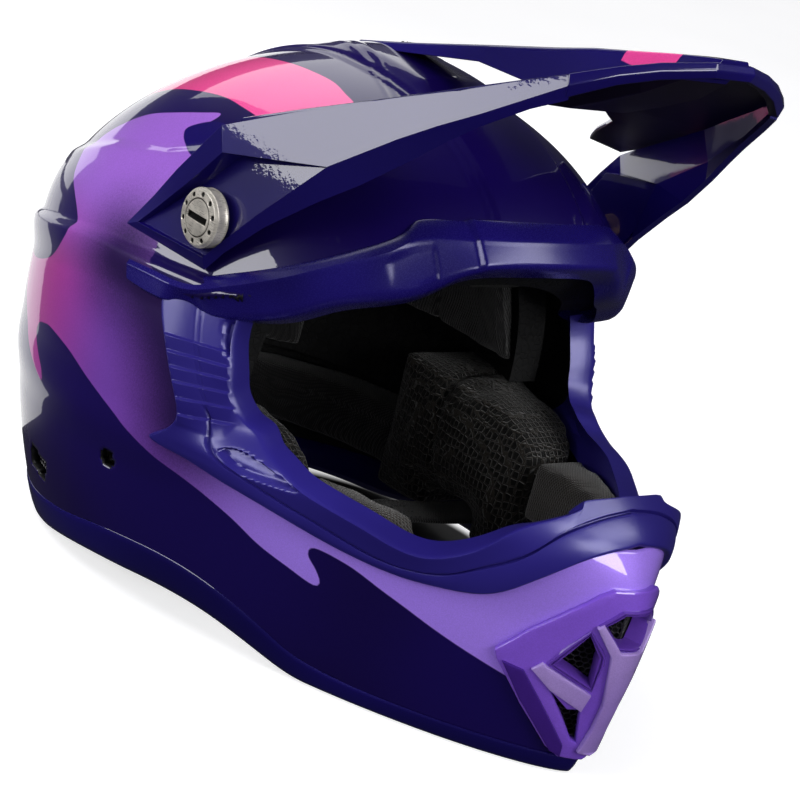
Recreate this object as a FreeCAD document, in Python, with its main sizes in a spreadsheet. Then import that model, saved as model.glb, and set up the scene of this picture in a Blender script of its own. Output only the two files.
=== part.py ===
import FreeCAD, Part
import Sketcher
import math
import os
from FreeCAD import Vector

# Motocross helmet with a bridged peak, standing on its rim.
# Millimetres, +Z up, forward is -Y, the wearer's left is +X, z = 0 is the resting plane.
# Side outlines are written as (forward, height) pairs; "forward" is turned into Y by at().

doc = FreeCAD.newDocument("motocross_helmet")

# ---------------------------------------------------------------- driving dimensions
DIMENSIONS = [
    ("centre_shift", 16.5),        # Y of the "forward = 0" line, so that Y = 0 is mid-length
    ("shell_thickness", 3.5),
    ("trim_proud", 2.5),           # eye port frame above the shell surface
    ("trim_depth", 9.0),           # and behind it
    ("brow_proud", 3.5),
    ("rim_proud", 0.6),
    ("rim_depth", 5.0),
    ("mouthpiece_proud", 3.0),
    ("mouthpiece_depth", 4.0),
    ("slip_centre_forward", -23.0),  # centre of the slip surface between the two liners
    ("slip_centre_height", 98.0),
    ("slip_radius", 118.0),
    ("slip_half_width", 103.0),
    ("slip_gap", 0.8),
    ("head_half_width", 86.0),
    ("head_half_length", 104.0),
    ("pad_thickness", 7.0),
    ("liner_floor", 101.0),        # underside of the liners above the cheek pads
    ("inner_rear_floor", 64.0),
    ("outer_rear_floor", 58.0),
    ("screw_forward", 21.0),       # peak screw axis
    ("screw_height", 174.0),
    ("screw_seat", 113.4),         # |X| of the seat under the screw head
    ("screw_head_radius", 12.0),
    ("screw_head_thickness", 7.5),
    ("screw_shank_radius", 4.0),
    ("screw_shank_length", 14.0),
    ("insert_radius", 7.0),
    ("insert_bore_radius", 4.4),
    ("insert_length", 10.0),
    ("visor_sheet", 3.0),
    ("strap_width", 22.0),
    ("strap_thickness", 2.0),
    ("rivet_radius", 6.0),
    ("ring_wire_radius", 1.7),
    ("ring_width", 30.0),
    ("ring_length", 22.0),
]

# Horizontal sections of the shell: height, half width, rear reach, front reach, all from
# the forward = 0 line.  Low sections end in the pointed chin, high ones in the round dome.
SECTIONS = [
    (-12, 101, 120, 180), (0, 106, 129, 184), (20, 113, 139, 188), (40, 118, 147.5, 191),
    (60, 121.5, 154, 193), (80, 124, 158.5, 192), (100, 125, 160.5, 184),
    (120, 124.5, 160.5, 163), (140, 122, 156, 137), (160, 116, 147, 119),
    (180, 105, 131.5, 105), (200, 88, 109, 88), (215, 68, 87, 69), (226, 45, 64, 46),
    (232, 25, 45, 24), (234.6, 8, 30, -2),
]
TOP = 235.0

sheet = doc.addObject("Spreadsheet::Sheet", "Dimensions")
row = 1
for alias, value in DIMENSIONS:
    sheet.set("A%d" % row, alias)
    sheet.set("B%d" % row, str(value))
    sheet.setAlias("B%d" % row, alias)
    row += 1
for i, section in enumerate(SECTIONS):
    for word, value in zip(("height", "halfwidth", "rear", "front"), section):
        alias = "section_%s_%s" % ("abcdefghijklmnop"[i], word)
        sheet.set("A%d" % row, alias)
        sheet.set("B%d" % row, str(value))
        sheet.setAlias("B%d" % row, alias)
        row += 1
doc.recompute()


def dim(alias):
    return float(sheet.get(alias))


def section_dims(i):
    letter = "abcdefghijklmnop"[i]
    return [dim("section_%s_%s" % (letter, w)) for w in ("height", "halfwidth", "rear", "front")]


SHIFT = dim("centre_shift")


def at(x, forward, height):
    return Vector(x, SHIFT - forward, height)


# ---------------------------------------------------------------- solids from outlines
def side_prism(outline, x0=-170.0, x1=170.0):
    """Outline of (forward, height) points carried across the helmet from x0 to x1."""
    points = [at(x0, f, z) for f, z in outline]
    face = Part.Face(Part.makePolygon(points + points[:1]))
    return face.extrude(Vector(x1 - x0, 0, 0))


def front_prism(outline, f0, f1):
    """Outline of (x, height) points carried forward from f0 to f1."""
    points = [at(x, f0, z) for x, z in outline]
    face = Part.Face(Part.makePolygon(points + points[:1]))
    return face.extrude(Vector(0, f0 - f1, 0))


def plan_prism(outline, z0, z1):
    """Outline of (x, forward) points carried up from z0 to z1."""
    points = [at(x, f, z0) for x, f in outline]
    face = Part.Face(Part.makePolygon(points + points[:1]))
    return face.extrude(Vector(0, 0, z1 - z0))


def block(x0, x1, f0, f1, z0, z1):
    return Part.makeBox(x1 - x0, f1 - f0, z1 - z0, at(x0, f1, z0))


def rod(x0, x1, forward, height, radius):
    """Round bar along X."""
    low, high = min(x0, x1), max(x0, x1)
    return Part.makeCylinder(radius, high - low, at(low, forward, height), Vector(1, 0, 0))


def ellipsoid(centre_forward, centre_height, half_width, half_length, half_height):
    ball = Part.makeSphere(1.0)
    matrix = FreeCAD.Matrix()
    matrix.scale(half_width, half_length, half_height)
    matrix.move(at(0, centre_forward, centre_height))
    return ball.transformGeometry(matrix)


# ---------------------------------------------------------------- shell form
def half_section(height, half_width, rear, front):
    """Points from the rear centre round the wearer's left to the front centre."""
    blend = min(max((height - 60.0) / 90.0, 0.0), 1.0)
    blend = blend * blend * (3 - 2 * blend)
    point_power = 1.6 + 0.5 * blend      # fullness along the length of the front half
    round_power = 1.3 + 0.8 * blend      # pointed chin low down, round dome high up
    widest = -28 + 8 * min(max((height - 140) / 95.0, 0.0), 1.0)
    points = []
    for k in range(17):
        angle = math.pi * k / 16
        reach = abs(math.cos(angle))
        if k < 8:
            f = widest - (rear + widest) * reach
            x = half_width * (1 - reach ** 2.2) ** (1 / 2.2)
        else:
            f = widest + (front - widest) * reach
            x = half_width * (1 - reach ** point_power) ** (1 / round_power)
        points.append(at(x, f, height))
    return points


def half_wire(height, half_width, rear, front):
    """Left half of a section, closed along the middle plane."""
    points = half_section(height, half_width, rear, front)
    curve = Part.BSplineCurve()
    curve.interpolate(Points=points, InitialTangent=Vector(1, 0, 0),
                      FinalTangent=Vector(-1, 0, 0))
    return Part.Wire([curve.toShape(), Part.makeLine(points[-1], points[0])])


volumes = {}


def shell_volume(offset):
    """Closed volume of the shell form, grown (+) or shrunk (-) by offset."""
    if offset not in volumes:
        wires = []
        for i in range(len(SECTIONS)):
            height, half_width, rear, front = section_dims(i)
            if half_width + offset < 4:
                continue
            lift = offset * max(height, 0.0) / TOP
            wires.append(half_wire(height + lift, half_width + offset, rear + offset,
                                   front + offset))
        left = Part.makeLoft(wires, True, False)
        right = left.mirror(Vector(0, 0, 0), Vector(1, 0, 0))
        volumes[offset] = left.fuse(right).removeSplitter()
    return volumes[offset]


# ---------------------------------------------------------------- side outlines
# Seam between shell and base rim, from rear to nose.
SEAM = [(-220, 12), (-110, 13), (-60, 17), (-32, 21), (-12, 26), (13, 29), (34, 30), (51, 28),
        (63, 24), (76, 19), (88, 13), (98, 11), (118, 9), (160, 9), (220, 8)]
# Lower edge of the rim: flat where it stands, arched between.
RIM_BASE = [(220, 0), (92, 0), (83, 2), (68, 8), (49, 12), (29, 13), (6, 11), (-20, 8),
            (-48, 3), (-70, 0), (-220, 0)]
# Opening in the shell, hidden under the frame and the brow trim.
PORT_CUT = [(230, 108), (176, 100), (166, 88), (154, 79), (140, 74), (122, 73), (104, 77),
            (84, 81), (66, 86), (52, 94), (43, 108), (40, 128), (42, 144), (57, 155),
            (73, 168), (83, 176), (97, 188), (230, 188)]
FRAME = [(12, 136.4), (17, 125), (25, 113), (32, 101), (34, 93), (19, 80), (45, 78), (68, 75),
         (89, 71), (108, 68), (126, 67), (140, 68), (153, 70), (162, 76), (170, 84),
         (176, 93), (179, 100), (230, 102), (230, 118), (172, 114), (168, 107), (160, 96),
         (149, 88), (136, 82), (126, 81), (114, 85), (101, 90), (82, 92), (66, 98),
         (57, 108), (53, 118), (50, 130), (45, 141), (36, 138)]
BROW = [(-12, 146), (22, 151), (41, 159), (58, 170), (69, 184), (75, 193), (86, 197.5),
        (89, 199.5), (150, 199.5), (150, 184.5), (98, 184.5), (84, 171), (74, 163),
        (58, 150), (46, 142), (38, 139), (19, 138), (-6, 136)]
MOUTHPIECE_TOP = [(181, 9), (160, 50), (170, 63), (180, 76), (187, 86), (230, 87)]
MOUTHPIECE = MOUTHPIECE_TOP + [(230, 3)]
MESH = [(160, 40), (168, 56), (178, 70), (184, 79), (230, 79), (230, 15), (176, 15)]
VENT_SLOT = [(-66, 28), (-48, 26), (-47, 36), (-65, 38)]
# Clearance in front of the liners, behind the frame and the brow.
PORT_CLEAR = [(240, 187), (93, 187), (84, 178), (72, 167), (56, 154), (40, 143), (8, 139),
              (8, 60), (240, 60)]
# Front view outlines of the openings in the mouthpiece (wearer's left side).
CENTRE_VENT = [(-12, 71.5), (-6, 77.5), (6, 77.5), (12, 71.5), (4.5, 63.5), (-4.5, 63.5)]
UPPER_VENT = [(21, 51), (14.5, 66), (9, 57), (8, 44)]
LOWER_VENT = [(19, 38.5), (12, 32), (8, 33), (4.5, 17), (6.5, 17)]

# ---------------------------------------------------------------- document helpers
pieces = []


def feature(label, shape):
    """Free-form piece: its sizes come from the sheet through dim()."""
    piece = doc.addObject("Part::Feature", label)
    piece.Label = label
    piece.Shape = shape
    piece.Placement = FreeCAD.Placement()
    pieces.append(piece)
    return piece


def turned_piece(label, profile, placement):
    """PartDesign piece turned about its own Z axis; profile is (radius cell, height cell)
    expressions, closed on the axis."""
    body = doc.addObject("PartDesign::Body", label + "_body")
    body.Label = label
    sketch = body.newObject("Sketcher::SketchObject", label + "_profile")
    plane = [o for o in body.Origin.OriginFeatures if o.Role == "XZ_Plane"][0]
    sketch.AttachmentSupport = [(plane, "")]
    sketch.MapMode = "FlatFace"
    count = len(profile)
    start = [(dim_value(r), dim_value(z)) for r, z in profile]
    for k in range(count):
        a, b = start[k], start[(k + 1) % count]
        sketch.addGeometry(Part.LineSegment(Vector(a[0], a[1], 0), Vector(b[0], b[1], 0)))
    for k in range(count):
        sketch.addConstraint(Sketcher.Constraint("Coincident", k, 2, (k + 1) % count, 1))
    for k, (r, z) in enumerate(profile):
        for kind, text in (("DistanceX", r), ("DistanceY", z)):
            number = sketch.addConstraint(
                Sketcher.Constraint(kind, -1, 1, k, 1, dim_value(text)))
            sketch.setExpression("Constraints[%d]" % number, expression(text))
    turn = body.newObject("PartDesign::Revolution", label + "_turn")
    turn.Profile = sketch
    turn.ReferenceAxis = (sketch, ["V_Axis"])
    turn.Angle = 360.0
    body.Tip = turn
    body.Placement = placement
    pieces.append(body)
    return body


def dim_value(text):
    """Number of a cell alias, a plain number, or a sum of them."""
    total = 0.0
    for term in str(text).replace("-", "+-").split("+"):
        term = term.strip()
        if not term:
            continue
        sign = -1.0 if term.startswith("-") else 1.0
        word = term.lstrip("- ")
        total += sign * (float(word) if word[0].isdigit() else dim(word))
    return total


def expression(text):
    words = []
    for term in str(text).replace("-", "+-").split("+"):
        term = term.strip()
        if not term:
            continue
        sign = "-" if term.startswith("-") else "+"
        word = term.lstrip("- ")
        words.append(sign + (word if word[0].isdigit() else "Dimensions." + word))
    return "".join(words).lstrip("+")


# ---------------------------------------------------------------- shell and trims
thick = dim("shell_thickness")
outer = shell_volume(0.0)
inner = shell_volume(-thick)
shell_side = SEAM[:-2] + MOUTHPIECE_TOP + PORT_CUT + [(230, 300), (-220, 300)]

screw_f, screw_z = dim("screw_forward"), dim("screw_height")
shell = outer.cut(inner).common(side_prism(shell_side))
for side in (-1, 1):
    boss = rod(side * 96, side * 108.4, screw_f, screw_z, 10)
    shell = shell.fuse(boss.cut(inner))
    shell = shell.cut(rod(side * 90, side * 112, screw_f, screw_z, dim("insert_radius")))
    shell = shell.cut(rod(side * 100, side * 130, -3, 59, 3.5))
    shell = shell.cut(side_prism(VENT_SLOT, min(side * 80, side * 150), max(side * 80, side * 150)))
feature("outer_shell", shell)

frame_layer = shell_volume(dim("trim_proud")).cut(shell_volume(-dim("trim_depth")))
frame = frame_layer.common(side_prism(FRAME)).cut(shell)
brow_layer = shell_volume(dim("brow_proud")).cut(shell_volume(-dim("trim_depth")))
brow = brow_layer.common(side_prism(BROW)).cut(shell)
feature("eye_port_frame", frame)
feature("brow_trim", brow)

rim_layer = shell_volume(dim("rim_proud")).cut(shell_volume(-dim("rim_depth")))
rim = rim_layer.common(side_prism(SEAM + RIM_BASE))
feature("base_rim", rim)

mouth_layer = shell_volume(dim("mouthpiece_proud")).cut(
    shell_volume(-dim("mouthpiece_depth")))
mouth = mouth_layer.common(side_prism(MOUTHPIECE)).cut(rim)
for outline in (UPPER_VENT, LOWER_VENT):
    mouth = mouth.cut(front_prism(outline, 130, 230))
    mouth = mouth.cut(front_prism([(-x, z) for x, z in outline], 130, 230))
mouth = mouth.cut(front_prism(CENTRE_VENT, 130, 230))
feature("mouthpiece", mouth)
mesh_layer = shell_volume(-dim("mouthpiece_depth")).cut(
    shell_volume(-dim("mouthpiece_depth") - 1.5))
mesh = mesh_layer.common(side_prism(MESH))
feature("mouthpiece_mesh", mesh)

grille_layer = shell_volume(-thick).cut(shell_volume(-thick - 1.5))
slot_wide = [(-69, 25), (-45, 23), (-44, 39), (-68, 41)]
feature("side_vent_grilles", grille_layer.common(side_prism(slot_wide)))

# ---------------------------------------------------------------- liners
slip_f, slip_z = dim("slip_centre_forward"), dim("slip_centre_height")
slip_r, slip_w = dim("slip_radius"), dim("slip_half_width")
gap = dim("slip_gap")
head_w, head_l = dim("head_half_width"), dim("head_half_length")


def head_form(shrink):
    """Dome of the head space with a straight neck way below it."""
    w, l = head_w - shrink, head_l - shrink
    dome = ellipsoid(slip_f, slip_z, w, l, l)
    neck = Part.makeCylinder(1.0, 1.0)
    matrix = FreeCAD.Matrix()
    matrix.scale(w, l, slip_z + 30)
    matrix.move(at(0, slip_f, -30))
    return dome.fuse(neck.transformGeometry(matrix))


slip_outside = ellipsoid(slip_f, slip_z, slip_w, slip_r, slip_r)
slip_inside = ellipsoid(slip_f, slip_z, slip_w - gap, slip_r - gap, slip_r - gap)
floor = dim("liner_floor")
liner_inner = shell_volume(-thick - 0.2)

outer_liner = liner_inner.cut(block(-170, 170, -240, 240, -60, dim("outer_rear_floor")))
outer_liner = outer_liner.cut(block(-170, 170, -38, 240, -60, floor))
outer_liner = outer_liner.cut(side_prism(PORT_CLEAR)).cut(slip_outside).cut(head_form(0))
for side in (-1, 1):
    outer_liner = outer_liner.cut(rod(side * 60, side * 120, screw_f, screw_z, 10.5))
outer_liner = outer_liner.cut(brow)
feature("outer_liner", outer_liner)

inner_liner = slip_inside.cut(head_form(0)).cut(
    block(-170, 170, -38, 240, -60, floor)).cut(
    block(-170, 170, -240, 240, -60, dim("inner_rear_floor"))).cut(
    block(-170, 170, 24, 240, -60, 166))
feature("inner_liner", inner_liner)

pad_shell = head_form(0).cut(head_form(dim("pad_thickness")))
feature("crown_pad", pad_shell.common(block(-30, 30, -92, 34, 150, 230)))
feature("brow_pad", pad_shell.common(block(-62, 62, 38, 110, 168, 230)))
feature("rear_pad", pad_shell.common(block(-58, 58, -160, -96, 66, 146)))
feature("left_side_pad", pad_shell.common(block(40, 110, -84, 20, 106, 172)))
feature("right_side_pad", pad_shell.common(block(-110, -40, -84, 20, 106, 172)))

# Four flexible couplers between the liners, bonded to the outer one.
couplers = []
for x, f in ((-34, 20), (34, 20), (-34, -70), (34, -70)):
    stud = Part.makeCylinder(7, 60, at(x, f, 175))
    couplers.append(stud.common(slip_outside).cut(
        ellipsoid(slip_f, slip_z, slip_w - 0.45, slip_r - 0.45, slip_r - 0.45)))
feature("slip_couplers", Part.makeCompound(couplers))

# ---------------------------------------------------------------- cheeks, chin and neck
cheek_space = shell_volume(-dim("trim_depth") - 0.4)
# The lower edge is cut back round the chin strap and its anchor.
CHEEK = [(-34, 24), (3, 24), (3, 40), (37, 40), (37, 24), (84, 24), (84, 50.5), (65, 50.5),
         (65, 80.5), (56, 88), (40, 94), (-34, 95.5)]
CHEEK_END = [(66, 52), (118, 58), (121, 78), (113, 87), (90, 85), (66, 81.5)]
cheek = cheek_space.common(side_prism(CHEEK))
CHEEK_END_INSIDE = [(-62, 60), (62, 60), (57, 100), (48, 130), (-48, 130), (-57, 100)]
cheek_end = cheek_space.common(side_prism(CHEEK_END)).cut(plan_prism(CHEEK_END_INSIDE, 30, 110))
inner_face = [(62, -40), (58, 20), (61, 60), (66, 91), (140, 91), (140, -40)]
for label, side in (("left", 1), ("right", -1)):
    plan = [(side * x, f) for x, f in inner_face]
    feature(label + "_cheek_pad", cheek.common(plan_prism(plan, 20, 110)))
    half = block(min(0, side * 170), max(0, side * 170), 60, 140, 30, 110)
    feature(label + "_cheek_pad_front", cheek_end.common(half))
CHIN_INSIDE = [(-44, 120), (44, 120), (27, 144), (10, 158), (-10, 158), (-27, 144)]
chin_foam = cheek_space.common(block(-80, 80, 126, 220, 14, 66)).cut(
    plan_prism(CHIN_INSIDE, 0, 80)).cut(mesh)
feature("chin_bar_foam", chin_foam)
neck = shell_volume(-dim("rim_depth") - 0.6).cut(head_form(-1.5)).common(
    block(-170, 170, -200, -40, 22, 54))
feature("neck_roll", neck)

# ---------------------------------------------------------------- straps and rings
strap_w, strap_t = dim("strap_width"), dim("strap_thickness")
strap_f = 20.0


def strap(route):
    """Webbing in the plane across the helmet: (x, height) centre line, strap_width wide."""
    upper, lower = [], []
    for k, (x, z) in enumerate(route):
        before, after = route[max(k - 1, 0)], route[min(k + 1, len(route) - 1)]
        dx, dz = after[0] - before[0], after[1] - before[1]
        length = math.hypot(dx, dz)
        nx, nz = -dz / length * strap_t / 2, dx / length * strap_t / 2
        upper.append((x + nx, z + nz))
        lower.append((x - nx, z - nz))
    return front_prism(upper + lower[::-1], strap_f - strap_w / 2, strap_f + strap_w / 2)


LEFT_ROUTE = [(113.2, 32), (100, 32), (86, 32), (70, 32.5), (50, 34), (30, 36), (18.2, 36)]
RIGHT_ROUTE = [(-113.2, 32), (-100, 32), (-86, 32), (-70, 32), (-50, 32.5), (-34, 33.5),
               (-20, 33.5)]
RING_X, RING_Z = 12.0, 36.0     # the axis that the rings swing about
wall = shell_volume(-thick - 0.05)
feature("left_chin_strap", strap(LEFT_ROUTE).common(wall).cut(rim))
feature("right_chin_strap", strap(RIGHT_ROUTE).common(wall).cut(rim))
anchors = []
for side in (-1, 1):
    plate = block(min(side * 86, side * 100), max(side * 86, side * 100), 11, 29, 33.05, 34.6)
    head = Part.makeCylinder(dim("rivet_radius") - 2, 2.6, at(side * 93, strap_f, 34.6))
    anchors.append(plate.fuse(head))
feature("strap_anchors", Part.makeCompound(anchors))
loop_start = at(RING_X, strap_f + strap_w / 2, RING_Z)
loop_out = Part.makeCylinder(6.2, strap_w, loop_start, Vector(0, 1, 0))
loop_in = Part.makeCylinder(4.2, strap_w, loop_start, Vector(0, 1, 0))
feature("ring_loop", loop_out.cut(loop_in))

ring_w, ring_l, wire_r = dim("ring_width"), dim("ring_length"), dim("ring_wire_radius")


def d_ring(x):
    """Wire D hanging from a bar along Y."""
    half = ring_w / 2
    knee = RING_Z - ring_l + half
    arc = Part.Arc(at(x, strap_f - half, knee), at(x, strap_f, RING_Z - ring_l),
                   at(x, strap_f + half, knee)).toShape()
    path = Part.Wire([
        Part.makeLine(at(x, strap_f - half, RING_Z), at(x, strap_f - half, knee)),
        arc,
        Part.makeLine(at(x, strap_f + half, knee), at(x, strap_f + half, RING_Z)),
        Part.makeLine(at(x, strap_f + half, RING_Z), at(x, strap_f - half, RING_Z))])
    wire = Part.Wire(Part.makeCircle(wire_r, at(x, strap_f - half, RING_Z - 2), Vector(0, 0, 1)))
    return path.makePipeShell([wire], True, False, 1)


apart = wire_r + 0.25
feature("d_rings", Part.makeCompound([d_ring(RING_X - apart), d_ring(RING_X + apart)]))

# ---------------------------------------------------------------- visor
VISOR_SIDE = [(-24, 155), (26, 154), (33, 164), (47, 180), (65, 197), (79, 209), (94, 224),
              (105, 236), (114, 245), (128, 257), (136, 264.5), (139, 272), (134, 272),
              (121, 265.5), (102, 255.5), (82, 245), (46, 227), (18, 211.5), (0, 188)]
# Plan of the outer face of the side arms: (forward, half width).
ARM_PLAN = [(-40, 123.4), (-24, 122.5), (0, 120.5), (22, 117.5), (36, 113.4), (50, 108),
            (70, 100), (85, 93.3), (100, 85.5), (120, 74.5), (136, 64), (139, 59)]
WINDOW = [(-13, 159), (25, 158.5), (63, 209), (23, 199)]


def arm_band(depth, side):
    out = [(side * x, f) for f, x in ARM_PLAN]
    back = [(side * (x - depth), f) for f, x in reversed(ARM_PLAN)]
    return plan_prism(out + back, 140, 290)


def floor_side(side, offset, outward):
    """Half space on one side of the tilted floor of the screw recess."""
    def plane_x(f, z):
        return side * (117.0 - 0.10 * (f - 26) - 0.218 * (z - 154) + offset)
    far = side * (160.0 if outward else 60.0)
    corners = [(-60, 130), (130, 130), (130, 300), (-60, 300)]
    near = Part.makePolygon([at(plane_x(f, z), f, z) for f, z in corners + corners[:1]])
    away = Part.makePolygon([at(far, f, z) for f, z in corners + corners[:1]])
    return Part.makeLoft([near, away], True, True)


PANEL = [(-24, 155), (26, 154), (69, 212.5), (46, 226), (18, 211.5), (0, 188)]
seat = dim("screw_seat")


def visor_arm(side):
    band = arm_band(dim("visor_sheet"), side).common(side_prism(VISOR_SIDE))
    panel = arm_band(16, side).common(side_prism(PANEL)).common(floor_side(side, -2.0, True))
    arm = band.fuse(panel)
    recess = side_prism(WINDOW).common(floor_side(side, 0.0, True))
    arm = arm.cut(recess)
    arm = arm.fuse(rod(side * 111.2, side * seat, screw_f, screw_z, 13))
    arm = arm.cut(rod(side * seat, side * 150, screw_f, screw_z, 13))
    return arm.cut(rod(side * 90, side * 150, screw_f, screw_z, dim("insert_bore_radius")))


# Stations of the roof: forward, then (x, height) of the arm top, the crease, the foot and
# the top edge of the bridge.
ROOF = [
    (14, (117, 211), (52, 226), (12, 232), (8, 250.5)),
    (46, (108, 227), (50, 236), (15, 243), (11, 260)),
    (82, (93, 245), (47, 250), (18, 255), (14, 271)),
    (102, (83, 255.5), (45, 259.5), (19, 263), (14.5, 276.5)),
    (121, (72.5, 265.5), (43, 268), (19, 270.5), (14.5, 281.5)),
    (136, (62, 273.5), (40, 275.5), (18, 277.5), (13, 285.5)),
    (144, (46, 280), (34, 280.7), (17, 281.8), (12, 287.2)),
    (150, (31, 284.5), (26, 284.6), (15, 285), (11, 288.4)),
    (158, (10.5, 288.6), (9.8, 288.8), (9, 289), (8, 290.2)),
]
# The front lip hangs below the roof along its pointed edge.
LIP = [(136, 62, 9), (144, 46, 7), (150, 31, 6.5), (158, 11, 6)]


def roof_wire(station, thickness):
    f, arm, crease, foot, top = station
    half = [top, foot, crease, arm]
    upper = [(-x, z) for x, z in reversed(half)] + half
    lower = [(x, z - thickness) for x, z in reversed(upper)]
    points = [at(x, f, z) for x, z in upper + lower]
    return Part.makePolygon(points + points[:1])


def bridge_wire(f, half_top, z_top, depth):
    points = [(-half_top, z_top), (half_top, z_top), (half_top + 2, z_top - depth),
              (-half_top - 2, z_top - depth)]
    points = [at(x, f, z) for x, z in points]
    return Part.makePolygon(points + points[:1])


def front_lip():
    lip = []
    for (f0, x0, d0), (f1, x1, d1) in zip(LIP, LIP[1:]):
        z0 = [s[1][1] for s in ROOF if s[0] == f0][0]
        z1 = [s[1][1] for s in ROOF if s[0] == f1][0]
        for side in (-1, 1):
            ends = []
            for f, x, z, d in ((f0, x0, z0, d0), (f1, x1, z1, d1)):
                corners = [(side * x, f, z), (side * x, f + 2.0, z - d),
                           (side * (x - 3.0), f - 1.0, z - d), (side * (x - 3.0), f - 3.0, z)]
                points = [at(*c) for c in corners]
                ends.append(Part.makePolygon(points + points[:1]))
            lip.append(Part.makeLoft(ends, True, True))
    nose = front_prism([(-11, 288.6), (11, 288.6), (11, 282.6), (-11, 282.6)], 155, 159.5)
    return lip[0].fuse(lip[1:] + [nose])


roof = Part.makeLoft([roof_wire(s, 2.6) for s in ROOF], True, True)
for side in (-1, 1):
    slot = [(side * 5, -20), (side * 22, 60), (side * 22, 76), (side * 60, 58),
            (side * 97, 33), (side * 130, 30), (side * 130, -20)]
    roof = roof.cut(plan_prism(slot, 180, 320))
roof = roof.cut(block(-30, 30, -20, 78, 180, 320))
BRIDGE = [(-46, 3, 236.4, 3.0), (-10, 6.5, 245.5, 3.6), (40, 10, 259, 5), (80, 14, 270.4, 12)]
bridge = Part.makeLoft([bridge_wire(*b) for b in BRIDGE], True, True)
BRIDGE_HOLLOW = [(45, 7, 254, 8), (82, 12, 267.4, 20)]
hollow = Part.makeLoft([bridge_wire(*b) for b in BRIDGE_HOLLOW], True, True)
visor = roof.fuse([bridge.cut(hollow), visor_arm(1), visor_arm(-1), front_lip()])
feature("visor", visor)

# ---------------------------------------------------------------- turned pieces
for label, side in (("left", 1), ("right", -1)):
    turn = FreeCAD.Rotation(Vector(0, 1, 0), 90 * side)
    place = FreeCAD.Placement(at(side * (seat + 0.3), screw_f, screw_z), turn)
    turned_piece(label + "_visor_screw", [
        ("0", "-screw_shank_length"), ("screw_shank_radius-0.6", "-screw_shank_length"),
        ("screw_shank_radius", "-screw_shank_length+0.6"), ("screw_shank_radius", "0"),
        ("screw_head_radius-0.6", "0"), ("screw_head_radius", "0.6"),
        ("screw_head_radius", "screw_head_thickness-1.5"),
        ("screw_head_radius-1.5", "screw_head_thickness"), ("0", "screw_head_thickness"),
    ], place)
    place = FreeCAD.Placement(at(side * 108.4, screw_f, screw_z), turn)
    turned_piece(label + "_visor_insert", [
        ("insert_bore_radius", "-insert_length"), ("insert_radius-0.8", "-insert_length"),
        ("insert_radius", "-insert_length+0.8"), ("insert_radius", "0"),
        ("insert_bore_radius", "0"),
    ], place)

# ---------------------------------------------------------------- check and write
doc.recompute()
problems = []
for item in doc.Objects:
    if "Invalid" in item.State or "Error" in item.State:
        problems.append("%s: %s" % (item.Label, item.State))
for piece in pieces:
    shape = piece.Shape
    if shape.isNull() or not shape.isValid() or not shape.Solids:
        problems.append("%s: no valid solid" % piece.Label)
if problems:
    raise SystemExit("\n".join(problems))

os.makedirs("parts", exist_ok=True)
for piece in pieces:
    piece.Shape.exportStep("parts/%s.step" % piece.Label)
    box = piece.Shape.BoundBox
    print("%-24s %d solid(s) %9.0f mm3  x %6.1f..%6.1f  y %6.1f..%6.1f  z %6.1f..%6.1f" % (
        piece.Label, len(piece.Shape.Solids), piece.Shape.Volume,
        box.XMin, box.XMax, box.YMin, box.YMax, box.ZMin, box.ZMax))
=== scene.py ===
import contextlib
import math
import bpy
import bmesh
import numpy as np
from mathutils import Matrix, Vector


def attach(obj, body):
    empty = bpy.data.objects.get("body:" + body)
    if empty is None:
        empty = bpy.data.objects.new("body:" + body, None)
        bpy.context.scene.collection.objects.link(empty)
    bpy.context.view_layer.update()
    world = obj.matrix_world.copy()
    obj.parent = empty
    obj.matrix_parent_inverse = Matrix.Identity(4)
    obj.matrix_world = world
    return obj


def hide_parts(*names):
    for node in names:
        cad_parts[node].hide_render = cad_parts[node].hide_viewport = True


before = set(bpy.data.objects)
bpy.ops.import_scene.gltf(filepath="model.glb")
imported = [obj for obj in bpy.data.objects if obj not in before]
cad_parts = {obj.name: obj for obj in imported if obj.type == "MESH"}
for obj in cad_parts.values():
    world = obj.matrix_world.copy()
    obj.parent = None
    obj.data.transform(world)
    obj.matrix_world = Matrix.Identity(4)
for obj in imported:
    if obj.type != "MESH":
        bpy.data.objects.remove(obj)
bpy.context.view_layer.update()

# Motocross helmet.  Outlines and stations are in millimetres: x to the wearer's left,
# u forward and z up, turned into the row frame (metres, forward is -Y) by to_row().
MM = 0.001
CENTRE_SHIFT = 16.5          # row Y of the u = 0 line
POLE_U = -17.0               # upright axis that the shell's polar table turns about
WALL = 3.5                   # shell thickness


def to_row(points):
    """(x, u, z) millimetres to row metres."""
    p = np.asarray(points, float)
    return np.stack([p[..., 0], CENTRE_SHIFT - p[..., 1], p[..., 2]], -1) * MM


def smoothstep(t):
    t = np.clip(t, 0.0, 1.0)
    return t * t * (3 - 2 * t)


def mix(a, b, t):
    return a + (b - a) * t


def spline(knots, values, at):
    """Natural cubic spline of values (n, k) over knots, read at the given places."""
    t, v = np.asarray(knots, float), np.asarray(values, float)
    v = v.reshape(len(t), -1)
    h = np.diff(t)
    system = np.eye(len(t))
    right = np.zeros_like(v)
    for i in range(1, len(t) - 1):
        system[i, i - 1:i + 2] = h[i - 1], 2 * (h[i - 1] + h[i]), h[i]
        right[i] = 6 * ((v[i + 1] - v[i]) / h[i] - (v[i] - v[i - 1]) / h[i - 1])
    bend = np.linalg.solve(system, right)
    at = np.asarray(at, float)
    i = np.clip(np.searchsorted(t, at) - 1, 0, len(h) - 1)
    a, b, step = (t[i + 1] - at)[:, None], (at - t[i])[:, None], h[i][:, None]
    return (bend[i] * a ** 3 + bend[i + 1] * b ** 3) / (6 * step) + \
        (v[i] / step - bend[i] * step / 6) * a + (v[i + 1] / step - bend[i + 1] * step / 6) * b


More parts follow.
